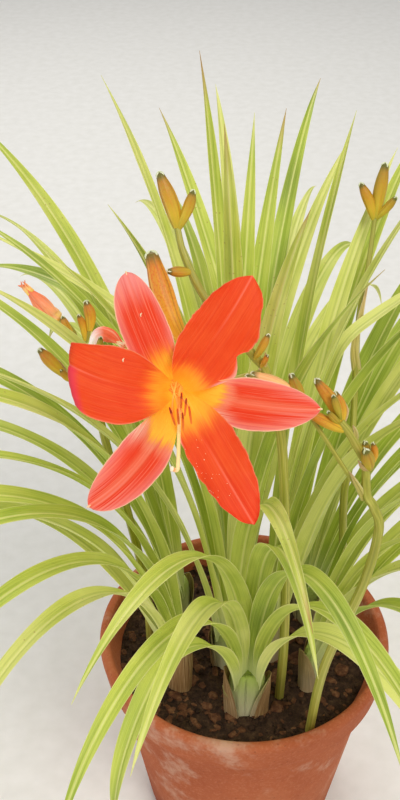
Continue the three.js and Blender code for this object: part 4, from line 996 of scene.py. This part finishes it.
def tepal_strip(tepal, across, fine=True):
    """Points, face normals and half widths along one strip; fine adds what the solid leaves out: ribs, a
    groove, crimped margins and nicks."""
    centres, faces, sides = tepal_line(tepal, across)
    q, own = TEPAL_WAY, tepal["turn"]
    half = tepal_half(tepal, q, 0.25 if fine else 0.8)
    if fine:
        way = q * tepal["length"]
        crimp = 0.007 * np.sin(way * 1.9 + own) * (1 + np.sin(way * 0.23 + own))
        crimp = crimp + 0.011 * np.sin(way * 0.83 + 2 * own) + 0.012 * np.sin(way * 0.37 + 3 * own)
        crimp = crimp * tepal["crimp"] * between((0.3, 0.5), (0.93, 1), q)
        side, at, depth, width = tepal["nick"]
        notch = depth * bell(q - at, width) * (across * side > 0)
        side, size, period, crest = tepal["waves"]
        wavy = size * np.cos(2 * math.pi * (q - crest) / period) * (across * side > 0) * smooth(0.2, 0.4, q)
        half = half * (1 + (crimp + wavy - notch) * abs(across) ** 3)
    wrap = (1 - smooth(0, tepal["flat_at"], q)) / (tepal["foot"] + 2)
    reach = across * half * (1 + tepal["lean"] * across)
    tight = wrap > 1e-3
    safe = np.where(tight, wrap, 1)
    sideways = np.where(tight, np.sin(safe * reach) / safe, reach)
    lift = np.where(tight, (1 - np.cos(safe * reach)) / safe, 0)
    wave = np.sin(q * 17 + across * 2.3 + own)
    relief = tepal["ruffle"] * across**4 * wave * smooth(0.3, 0.6, q)
    if fine:
        crinkle = 0.22 * tepal["ruffle"] * abs(across) ** 7 * np.sin(way * 0.95 + across * 3 + own)
        relief = relief + crinkle * between((0.35, 0.6), (0.94, 1), q)
        relief = relief + 0.12 * math.cos(across * 31) * between((0.1, 0.3), (0.8, 1), q)
        along = between((0.15, 0.4), (0.8, 1), q)
        if tepal["groove"]:
            groove = 0.55 * bell(across, 0.06) + 0.45 * max(0, 1 - abs(across) / 0.5)
            relief = relief - tepal["groove"] * along * groove
        else:
            relief = relief + 0.35 * (bell(abs(across) - 0.22, 0.07) - bell(across, 0.10)) * along
    return centres + sides * sideways[:, None] + faces * (lift + relief)[:, None], faces, half


GOLD_END = 20.0
ACROSS = np.sin(np.linspace(-1, 1, 37) * math.pi / 2)
petals, sepals = Piece(), Piece()
TEPAL_SKINS = []
for number, tepal in enumerate(TEPALS):
    strips = []
    for across in ACROSS:
        points, faces, half = tepal_strip(tepal, across)
        skin = faces * (PETAL_THICKNESS * (1 - 0.55 * abs(across) ** 3) / 2)
        from_axis = points - BLOOM_CENTRE
        flat = from_axis - np.outer(from_axis @ bloom_axis, bloom_axis)
        away = np.linalg.norm(flat, axis=1) * GOLD_END / tepal["gold"]
        spot = vectors(TEPAL_WAY * tepal["length"], across * half, away)
        strips.append((points + skin, points - skin, spot))
    top, bottom, spots = (np.array(rows).transpose(1, 0, 2) for rows in zip(*strips))
    tones = vectors(ACROSS, draw(number, 51), tepal["dress"])
    (petals if tepal["groove"] else sepals).sheet(top, bottom, spots, tones)
    TEPAL_SKINS.append(top)
petals.make("bloom_petals", PETAL, "petal", "bloom", sharp=70)
sepals.make("bloom_sepals", PETAL, "petal", "bloom", sharp=70)

tube_piece = Piece()
tube_path = [
    bloom_place(0, 0, -TUBE_BACK), bloom_place(0, 0, -TUBE_BACK + 7),
    bloom_place(THROAT[0] / 2, THROAT[1] / 2, -TUBE_END - 9), bloom_place(*THROAT, -TUBE_END),
]
tube_radius = lambda way, turns: (2.6 + 3.2 * way) * (1 + 0.05 * np.cos(6 * turns))
tube(tube_piece, tube_path, tube_radius, 36, 20)
tube_piece.make("bloom_tube", TUBE, "petal", "bloom")

# right, up and forward of each anther's middle, how far its lower end is to the right of its upper, and
# how dark its upper end is
ANTHERS = [
    (0.5, -4.3, 20, -0.3, 0.85), (-4, -11.8, 22, 3, 1.0), (-1, -12.4, 26, 1, 0.15), (5, -11.2, 24, 1.3, 0.1),
    (2.7, -7.2, 27, -0.8, 0.7), (1.5, -14.3, 33, 0.5, 0.8),
]
ANTHER_LENGTH = 9.0
ANTHER_RADIUS = 0.53
FILAMENT_CIRCLE = 2.2


def anther_radius(way, turns):
    lobes = 1 + 0.25 * np.cos(2 * turns) - 0.12 * bell(np.sin(turns), 0.3)
    return ANTHER_RADIUS * (0.35 + 0.65 * max(0.0, 4 * way * (1 - way)) ** 0.35) * lobes


filaments, anthers = Piece(), Piece()
for i, (right, up, forward, lean, dark) in enumerate(ANTHERS):
    turn = rad(60 * i + 20)
    foot = (FILAMENT_CIRCLE * math.cos(turn), FILAMENT_CIRCLE * math.sin(turn))
    path = [
        bloom_place(THROAT[0] + foot[0], THROAT[1] + foot[1], -TUBE_END - 3),
        bloom_place(THROAT[0] + foot[0] * 1.3, THROAT[1] + foot[1] * 1.3, -12),
        bloom_place(right * 0.7 + THROAT[0] * 0.4, up * 0.35, forward * 0.35),
        bloom_place(right, up + ANTHER_LENGTH * 0.2, forward - 0.7),
    ]
    tube(filaments, path, lambda way, _: 0.62 - 0.22 * way, 10, 30)
    anther_path = [
        bloom_place(right - lean / 2, up + ANTHER_LENGTH / 2, forward - 2),
        bloom_place(right, up, forward),
        bloom_place(right + lean / 2, up - ANTHER_LENGTH / 2, forward + 1),
    ]
    tube(anthers, anther_path, anther_radius, 16, 18, (dark, draw(i, 63), 0))
filaments.make("bloom_filaments", FILAMENT, "petal", "bloom")
anthers.make("bloom_anthers", ANTHER, "petal", "bloom")

STYLE_PATH = [
    (*THROAT, -TUBE_END - 3), (-1.8, 0, -10), (-0.6, -9.5, 18), (-0.6, -23, 32), (-0.7, -32.5, 38),
    (-1.2, -37.5, 41), (-3.9, -36.8, 43.5),
]
style = Piece()


def style_radius(way, _):
    knob = float(smooth(0.965, 0.99, way)) * (1 - 0.8 * float(smooth(0.992, 1.0, way)))
    return 0.82 + 0.2 * way + 0.35 * knob


tube(style, [bloom_place(*row) for row in STYLE_PATH], style_radius, 14, 90)
style.make("bloom_style", STYLE, "petal", "bloom")


# ---- crowns and leaves, bent clear of everything as in the part ----

ACROSS_TESTED = np.array([-1, -0.5, 0, 0.5, 1])
Q = np.linspace(0, 1, LEAF_STEPS + 1)
OUTER_STYLE = {"rise": (85, 72), "bend": (72, 134), "length": (428, 356), "turn": (6, 33)}
INNER_STYLE = {"rise": (89, 81), "bend": (14, 60), "length": (442, 392), "turn": (12, 57)}
LEAVES_PER_CROWN = 8
DODGE_TURNS = (0, 5, -5, 10, -10, 16, -16, 23, -23)
DODGE_BENDS = (0, 12, -10, 24, -18, 38, 50)


def leaf_line(leaf):
    crease = rad(leaf["crease"]) * smooth(leaf["crease_at"] - 0.04, leaf["crease_at"] + 0.04, Q)
    rise = rad(leaf["rise"]) - rad(leaf["bend"]) * Q**1.7 - crease
    settle = (1 - np.minimum(1, Q / 0.25)) ** 2
    turn = rad(leaf["tip_turn"]) + rad(leaf["base_turn"] - leaf["tip_turn"]) * settle
    along = np.stack([np.cos(rise) * np.cos(turn), np.cos(rise) * np.sin(turn), np.sin(rise)], 1)
    face = np.stack([-np.sin(rise) * np.cos(turn), -np.sin(rise) * np.sin(turn), np.cos(rise)], 1)
    side = np.cross(face, along)
    twist = (rad(leaf["twist"]) * Q * Q)[:, None]
    moved = np.concatenate([[np.zeros(3)], np.cumsum(along[:-1] * leaf["length"] / LEAF_STEPS, axis=0)])
    centre = leaf["base"] + moved
    return centre, face * np.cos(twist) - side * np.sin(twist), side * np.cos(twist) + face * np.sin(twist)


def leaf_half(leaf, q, least=0.7):
    widening = 0.5 + 0.5 * smooth(0, 0.3, q)
    tapering = np.where(q < 0.45, 1, 1 - (np.maximum(q - 0.45, 0) / 0.55) ** 1.9)
    return np.maximum(least, leaf["width"] / 2 * widening * tapering)


def leaf_fold(q):
    return np.radians(24 + 50 * (1 - np.minimum(1, q / 0.25)) ** 2)


def leaf_samples(leaf):
    centre, face, side = leaf_line(leaf)
    half, fold = leaf_half(leaf, Q), leaf_fold(Q)
    flat, stand = (half * np.cos(fold))[:, None, None], (half * np.sin(fold))[:, None, None]
    over = ACROSS_TESTED[None, :, None]
    return centre[:, None] + side[:, None] * over * flat + face[:, None] * np.abs(over) * stand


class Taken:
    """Places already taken, with their owner and how far others keep off."""

    def __init__(self):
        self.points = np.zeros((0, 3))
        self.owners = np.zeros(0, int)
        self.reach = np.zeros(0)
        self.own_reach = np.zeros(0)

    def add(self, points, owner, reach, own_reach=0.0):
        rows = (points, np.full(len(points), owner), np.full(len(points), reach))
        self.points, self.owners, self.reach = (
            np.concatenate(pair) for pair in zip((self.points, self.owners, self.reach), rows))
        self.own_reach = np.concatenate([self.own_reach, np.broadcast_to(own_reach, len(points))])

    def is_clear(self, points, own_reach, owner):
        low, high = points.min(0) - 14, points.max(0) + 14
        near = ((self.points > low) & (self.points < high)).all(1)
        if not near.any():
            return True
        other, owners = self.points[near], self.owners[near]
        away = ((points[:, None] - other[None]) ** 2).sum(2)
        own_keep = np.minimum(own_reach[:, None], self.own_reach[near][None])
        keep = np.where(owners == owner, own_keep, self.reach[near][None])
        return not (away < keep**2).any()


taken = Taken()
KEEP_OFF = {"stem": 8.5, "bud": 6, "bract": 8, "withered": 11, "tepal": 10, "style": 12}
for number, stalk in enumerate(STALKS.values()):
    owner = 100 + number
    for path, *_ in stalk["stems"]:
        taken.add(Curve(path).samples(60), owner, KEEP_OFF["stem"])
    for path, radius, *_ in stalk["buds"]:
        taken.add(Curve(path).samples(8), owner, KEEP_OFF["bud"] + radius)
    for path, *_ in stalk["bracts"]:
        taken.add(Curve(path).samples(5), owner, KEEP_OFF["bract"])
for _, stem_number, rest, *_ in WITHERED_BLOOMS:
    taken.add(Curve(seated_path(stem_number, rest)).samples(10), 110 + stem_number, KEEP_OFF["withered"])
for tepal in TEPALS:
    for across in (-1, -0.6, -0.2, 0.2, 0.6, 1):
        taken.add(tepal_strip(tepal, across, fine=False)[0], 120, KEEP_OFF["tepal"])
taken.add([bloom_place(*row) for row in STYLE_PATH], 120, KEEP_OFF["style"])

CROWNS = [{"radius": 22, "turn": 120 * k, "style": INNER_STYLE, "front": 0.4} for k in range(3)]
CROWNS += [{"radius": 62, "turn": 60 * k - 90, "style": OUTER_STYLE, "front": 1} for k in range(6)]
for number, crown in enumerate(CROWNS):
    angle = rad(crown["turn"])
    crown["number"] = number
    crown["out"] = np.array([math.cos(angle), math.sin(angle), 0])
    crown["beside"] = np.array([-math.sin(angle), math.cos(angle), 0])
    crown["middle"] = crown["radius"] * crown["out"]
    crown["front"] *= max(0, -math.sin(angle))


def crown_place(crown, away, sideways, z):
    away, sideways, z = (np.asarray(v, float)[..., None] for v in (away, sideways, z))
    return crown["middle"] + crown["out"] * away + crown["beside"] * sideways + np.array([0, 0, 1.0]) * z


def crown_leaf(crown, order):
    own = crown["number"] * 10 + order
    sign = 1 if order % 2 == 0 else -1
    share = LEAVES_PER_CROWN - 1
    rise, bend, length, turn = (a + (b - a) * order / share for a, b in crown["style"].values())
    sideways = sign * (NEST_SIDEWAYS[0] + NEST_SIDEWAYS[1] * (order // 2))
    return {
        "own": own,
        "base": crown_place(crown, NEST_AWAY[0] + NEST_AWAY[1] * order, sideways, LEAF_START),
        "base_turn": crown["turn"] + sign * 8,
        "tip_turn": crown["turn"] + sign * turn + 6 * (draw(own, 1) - 0.5),
        "rise": rise + 0.8 * (draw(own, 2) - 0.5),
        "bend": bend + 22 * crown["front"] + 16 * (draw(own, 3) - 0.5),
        "length": length * (0.93 + 0.14 * draw(own, 4)) - 34 * crown["front"],
        "width": 16.5 + 4 * draw(own, 5),
        "twist": 70 * (draw(own, 6) - 0.5),
        "crease": 38 if draw(own, 7) > 0.86 else 0,
        "crease_at": 0.55 + 0.2 * draw(own, 8),
    }


def bent_clear(leaf, owner):
    for bend in DODGE_BENDS:
        for turn in DODGE_TURNS:
            tried = {**leaf, "bend": leaf["bend"] + bend, "tip_turn": leaf["tip_turn"] + turn}
            samples = leaf_samples(tried)
            own_reach = np.repeat(np.where(Q > 0.3, OWN_CLEARANCE, 0.0), len(ACROSS_TESTED))
            flat = samples.reshape(-1, 3)
            if (flat[:, 2] > SOIL_TOP + 4).all() and taken.is_clear(flat, own_reach, owner):
                taken.add(flat, owner, LEAF_CLEARANCE, own_reach)
                return tried
    return None


LEAF_HALF_ACROSS = (0.05, 0.13, 0.27, 0.44, 0.62, 0.80, 0.93, 1)
LEAF_ACROSS = np.array([[-a for a in LEAF_HALF_ACROSS[::-1]] + [0, *LEAF_HALF_ACROSS]])
GUTTER_SOFTNESS = 0.16


def add_leaf(piece, leaf):
    """The blade as the solid has it, with a rounded gutter, low pleats, thin edges and a keel below."""
    rows = [Curve(v).samples(2 * LEAF_STEPS)[:, None] for v in leaf_line(leaf)]
    centre, face, side = rows[0], unit(rows[1]), unit(rows[2])
    q, a = np.linspace(0, 1, len(centre))[:, None], LEAF_ACROSS
    own, dry = draw(leaf["own"], 71), 1.0 if draw(leaf["own"], 72) > 0.55 else 0.0
    half, fold = leaf_half(leaf, q, 0.12), leaf_fold(q)
    soft = GUTTER_SOFTNESS
    gutter = (np.sqrt(a**2 + soft**2) - soft) / (math.sqrt(1 + soft**2) - soft)
    body = between((0.12, 0.3), (0.85, 1), q)
    pleats = 0.16 * np.cos(a * 19) * body
    swing = 0.7 * np.sin(q * (14 + 8 * own) + 6 * own) * a * np.abs(a) * body
    recurve = -0.10 * half * np.abs(a) ** 6 * body
    lift = half * np.sin(fold) * gutter + pleats + swing + recurve
    points = centre + side * (half * np.cos(fold) * a)[..., None] + face * lift[..., None]
    thick = 0.30 + (0.70 - 0.55 * q) * bell(a, 0.16) + 0.12 * (1 - a**2)
    thick = thick * (0.5 + 0.5 * (1 - smooth(0.9, 1, q)))
    keel = 0.45 * bell(a, 0.07) * body
    top = points + face * (thick / 2)[..., None]
    bottom = points - face * (thick / 2 + keel)[..., None]
    piece.sheet(top, bottom, vectors(q * leaf["length"], a * half, q), vectors(a, own, dry))


NECK_RINGS = (
    (136, 15.2, 8.2), (158, 15.0, 8.0), (172, 14.8, 7.6), (186, 14.4, 7.0), (194, 13.6, 6.4),
    (199, 12.2, 5.2), (200.5, 9.5, 3.6),
)


def add_neck(piece, crown):
    """The crown's flattened foot, ribbed by the wrapped leaf bases."""
    turns = around(48)
    wave = 1 + 0.035 * np.cos(9 * turns + crown["number"]) + 0.02 * np.cos(17 * turns)
    rings, spots = [], []
    for z, long, short in NECK_RINGS:
        rings.append(crown_place(crown, np.cos(turns) * short * wave, np.sin(turns) * long * wave, z))
        spots.append(vectors(z - 136, turns * 11, (z - 136) / 64))
    piece.loft(rings, spots, (0.0, crown["number"] * 0.37, 0.0))


def add_scale(piece, crown, k):
    """An old leaf base: a pointed scale wrapped round one side of the neck."""
    item, layer = crown["number"] * 10 + k, k // 2
    own = draw(item, 81)
    middle = math.pi * k + (draw(item, 82) - 0.5) * 1.2 + math.pi / 2
    height = 34 + 30 * draw(item, 83)
    way, share = np.linspace(0, 1, 16)[:, None], np.linspace(-1, 1, 15)[None, :]
    z = 150 + height * way
    widest = 1.25 * (1 - 0.2 * way) * np.sqrt(np.maximum(0, 1 - way**3)) + 0.02
    turn = middle + share * widest
    off = 0.9 + 2.2 * way**2 + 0.9 * layer + 0.5 * abs(share) ** 3 * own
    grow = np.maximum(0, (z - 186) / 20)
    long, short = 15.0 - 1.8 * grow + off, 8.2 - 1.5 * grow + off
    points = crown_place(crown, np.cos(turn) * short, np.sin(turn) * long, z)
    skin = (crown_place(crown, np.cos(turn), np.sin(turn), 0) - crown["middle"]) * 0.25
    tones = vectors(share, own * 5, 0.25 + 0.75 * layer * own + 0.35 * way)
    piece.sheet(points + skin, points - skin, vectors(height * way, share * 11, way), tones)


for crown in CROWNS:
    node = f"leaf_fan_{crown['number'] + 1}"
    leaves, feet = Piece(), Piece()
    for order in range(LEAVES_PER_CROWN):
        leaf = bent_clear(crown_leaf(crown, order), crown["number"])
        if leaf is not None:
            add_leaf(leaves, leaf)
    add_neck(feet, crown)
    for k in range(4):
        add_scale(feet, crown, k)
    leaves.make(f"{node}_blades", LEAF, "leaf", node, sharp=60)
    feet.make(f"{node}_sheaths", SHEATH, "leaf", node, sharp=60)


# ---- the pot ----


def cut(target, cutter):
    change = target.modifiers.new("cut", "BOOLEAN")
    change.object = cutter
    change.solver = "EXACT"
    graph = bpy.context.evaluated_depsgraph_get()
    mesh = bpy.data.meshes.new_from_object(target.evaluated_get(graph))
    target.modifiers.clear()
    target.data = mesh
    bpy.data.objects.remove(cutter)


def make_pot():
    base, rim, band = POT_BASE_RADIUS, POT_RIM_RADIUS, POT_HEIGHT - RIM_BAND_HEIGHT
    profile = [(base - r, z) for r, z in ((50, 0), (14, 0), (3.2, 0), (1.4, 0.5), (0.3, 1.7), (0, 2.8))]
    wall = [k / 14 for k in range(1, 15)]
    profile += [(base + (rim - 12 - base) * share, 2.8 + (band - 2.8) * share) for share in wall]
    profile += [(rim - r, band + z) for r, z in ((11.6, 0.4), (6, 1.4), (4.4, 2.2), (3.9, 3.6))]
    for k in range(1, 6):
        profile.append((rim - 3.9 + 3.7 * k / 5, band + 3.6 + (RIM_BAND_HEIGHT - 10) * k / 5))
    lip = ((0, 4.6), (0.5, 2.4), (1.9, 0.8), (4.2, 0), (6.4, 0.5), (8.2, 2), (9, 4.2))
    profile += [(rim - r, POT_HEIGHT - z) for r, z in lip]
    profile += [(96, 150), (88, 110), (80, 60), (74.5, 14), (72, 10.2)]
    profile += [(r, POT_FLOOR) for r in (68, 40, 12)]
    body = Piece()
    body.loft([circle(r, z, around(144)) for r, z in profile])
    pot = body.make("pot_clay", CLAY, "terracotta", "pot", sharp=40)
    for k in range(DRAIN_HOLES):
        turn = 2 * math.pi * (k + 0.5) / DRAIN_HOLES
        middle = DRAIN_CIRCLE_RADIUS * np.array([math.cos(turn), math.sin(turn), 0])
        drill = Piece()
        drill.loft([middle + circle(DRAIN_HOLE_RADIUS, z, around(32)) for z in (-9, 18)])
        cut(pot, place_mesh("drill", np.concatenate(drill.points) * MM, drill.faces))


make_pot()


# ---- the soil ----

# the wall's inner face: heights and radii
INSIDE_HEIGHTS = (12.0, 176.0)
INSIDE_RADII = (74.0, 106.0)
SOIL_MARGIN = 0.8
SOIL_SIDES = 120
SOIL_RINGS = 26


def inside_radius(z):
    return np.interp(z, INSIDE_HEIGHTS, INSIDE_RADII)


def soil_height(x, y):
    """Low lumps, and a small rise round each crown."""
    lump = 1.1 * np.sin(x * 0.093 + 1.3) * np.sin(y * 0.081 + 0.4) + 0.7 * np.sin(x * 0.21 + y * 0.17)
    rise = 0.0
    for crown in CROWNS:
        from_crown = (x - crown["middle"][0]) ** 2 + (y - crown["middle"][1]) ** 2
        rise = rise + 2.2 * np.exp(-from_crown / 420)
    return SOIL_TOP - 1.2 + 0.6 * lump + rise * 0.5


def make_soil():
    turns = around(SOIL_SIDES)
    rings = [circle(radius, POT_FLOOR + 0.5, turns) for radius in (20, 66)]
    rings += [circle(inside_radius(z) - SOIL_MARGIN, z, turns) for z in (14, 90, 150)]
    for k in range(SOIL_RINGS):
        radius = (inside_radius(SOIL_TOP) - SOIL_MARGIN) * (1 - k / SOIL_RINGS) + k / SOIL_RINGS
        x, y = radius * np.cos(turns), radius * np.sin(turns)
        rough = 0.9 * (np.array([draw(k * SOIL_SIDES + j, 91) for j in range(SOIL_SIDES)]) - 0.5)
        rough = rough * 0.3 - 1.2 if k == 0 else rough
        rings.append(vectors(x, y, soil_height(x, y) + rough))
    body = Piece()
    body.loft(rings)
    body.make("soil_body", SOIL, "soil", "potting_soil", sharp=180)


CHIP = np.array([
    (0, 0, 1), (0.89, 0, 0.45), (0.28, 0.85, 0.45), (-0.72, 0.53, 0.45),
    (-0.72, -0.53, 0.45), (0.28, -0.85, 0.45), (0.72, 0.53, -0.45), (-0.28, 0.85, -0.45),
    (-0.89, 0, -0.45), (-0.28, -0.85, -0.45), (0.72, -0.53, -0.45), (0, 0, -1),
])
CHIP_FACES = [
    (0, 1, 2), (0, 2, 3), (0, 3, 4), (0, 4, 5), (0, 5, 1), (1, 6, 2), (2, 7, 3),
    (3, 8, 4), (4, 9, 5), (5, 10, 1), (6, 7, 2), (7, 8, 3), (8, 9, 4), (9, 10, 5),
    (10, 6, 1), (11, 7, 6), (11, 8, 7), (11, 9, 8), (11, 10, 9), (11, 6, 10),
]


def scatter(name, material, count, low, high, key, flat):
    """Crumbs or bark chips lying on the soil, half sunk."""
    chips = Piece()
    for k in range(count):
        radius = (inside_radius(SOIL_TOP) - 6) * math.sqrt(draw(k, key))
        t = 2 * math.pi * draw(k, key + 1)
        x, y = radius * math.cos(t), radius * math.sin(t)
        size = low + (high - low) * draw(k, key + 2) ** 2
        turn = 2 * math.pi * draw(k, key + 3)
        tilt = 0.7 * (draw(k, key + 4) - 0.5)
        stretch = np.array([1.0, 0.45 + 0.5 * draw(k, key + 5), flat * (0.6 + 0.6 * draw(k, key + 6))])
        jitter = np.array([[0.75 + 0.5 * draw(k * 12 + j, key + 7)] for j in range(12)])
        points = CHIP * jitter * stretch * size
        c, s = math.cos(turn), math.sin(turn)
        points = points @ np.array([[c, s, 0], [-s, c, 0], [0, 0, 1]])
        points[:, 2] += points[:, 0] * tilt
        chips.add(points + np.array([x, y, soil_height(x, y) + size * 0.12]), CHIP_FACES)
    chips.make(name, material, "soil", "potting_soil", sharp=25)


make_soil()
scatter("soil_crumbs", SOIL, 900, 0.9, 3.2, 101, 0.8)
scatter("soil_bark", BARK, 420, 1.8, 7.0, 121, 0.35)


# ---- pollen and flecks on the petals ----


def skin_place(number, q, across):
    """A place on the upper skin of a tepal, with its normal."""
    skin = TEPAL_SKINS[number]
    i = q * (skin.shape[0] - 1)
    j = np.interp(across, ACROSS, np.arange(len(ACROSS)))
    i0, j0 = min(int(i), skin.shape[0] - 2), min(int(j), skin.shape[1] - 2)
    u, v = i - i0, j - j0
    a, b, c, d = skin[i0, j0], skin[i0 + 1, j0], skin[i0, j0 + 1], skin[i0 + 1, j0 + 1]
    point = a * (1 - u) * (1 - v) + b * u * (1 - v) + c * (1 - u) * v + d * u * v
    normal = unit(np.cross(b - a, c - a))
    return point, normal if normal @ bloom_axis > 0 else -normal


SEPALS = 3
POLLEN_GRAINS = 30
nibs = Piece()
for number in range(SEPALS):
    point, normal = skin_place(number, 1.0, 0.0)
    before, _ = skin_place(number, 0.975, 0.0)
    ahead = unit(point - before)
    path = [before - normal * 0.2, point - normal * 0.15, point + ahead * 0.7 + normal * 0.1]
    tube(nibs, path, lambda way, _: 0.58 * math.sin(math.pi * (0.10 + 0.78 * way)), 10, 10)
nibs.make("bloom_sepal_nibs", NIB, "petal", "bloom")

grains = Piece()
for k in range(POLLEN_GRAINS):
    point, normal = skin_place(4, 0.42 + 0.38 * draw(k, 141), -0.95 + 0.9 * draw(k, 142) ** 1.4)
    size = 0.12 + 0.16 * draw(k, 143)
    grains.add(CHIP * size * np.array([1.0, 0.8, 0.9]) + point + normal * size * 0.4, CHIP_FACES)
for number, q, across in ((0, 0.667, -0.075), (5, 0.433, -0.725)):
    point, normal = skin_place(number, q, across)
    side = unit(np.cross(normal, bloom_up))
    path = [point + normal * 0.35]
    for off, sideways, down in ((0.5, 0.7, 0.9), (0.4, 0.5, 2.0)):
        path.append(point + normal * off + side * sideways - bloom_up * down)
    tube(grains, path, lambda way, _: 0.42 * math.sin(math.pi * (0.15 + 0.7 * way)), 8, 8)
grains.make("bloom_pollen", POLLEN, "petal", "bloom", sharp=60)


# ---- floor, light and camera, in metres ----

FLOOR_RADIUS = 9.0
FLOOR_CORNERS = 96
floor = place_mesh("floor", circle(FLOOR_RADIUS, 0, around(FLOOR_CORNERS)), [list(range(FLOOR_CORNERS))])
floor.data.materials.append(FLOOR)


def area_light(name, place, aim, size, power, colour):
    data = bpy.data.lights.new(name, "AREA")
    data.shape = "DISK"
    data.size = size
    data.energy = power
    data.color = colour
    light = bpy.data.objects.new(name, data)
    light.location = place
    light.rotation_euler = (Vector(aim) - Vector(place)).to_track_quat("-Z", "Y").to_euler()
    bpy.context.scene.collection.objects.link(light)


area_light("key", (0.9, -1.5, 2.3), (0, -0.05, 0.4), 1.3, 37, (1.0, 0.97, 0.91))
area_light("fill", (-1.8, -1.2, 1.3), (0, 0, 0.4), 1.6, 12, (0.97, 0.98, 1.0))
area_light("back", (-0.4, 1.7, 1.9), (0, 0, 0.4), 1.4, 20, (1.0, 0.98, 0.94))

world = bpy.data.worlds.new("studio")
world.use_nodes = True
world.node_tree.nodes["Background"].inputs[0].default_value = (0.98, 0.98, 1.0, 1)
world.node_tree.nodes["Background"].inputs[1].default_value = 0.37
scene = bpy.context.scene
scene.world = world
scene.view_settings.view_transform = "Standard"

CAMERA_PLACE = (-35.12, -637.55, 869.73)
CAMERA_PITCH = 54
CAMERA_LENS = 51.92
camera = bpy.data.objects.new("camera", bpy.data.cameras.new("camera"))
camera.data.lens = CAMERA_LENS
camera.data.sensor_width = 36
camera.location = [c * MM for c in CAMERA_PLACE]
camera.rotation_euler = (rad(CAMERA_PITCH), 0, 0)
camera.data.clip_start = 0.01
scene.collection.objects.link(camera)
scene.camera = camera
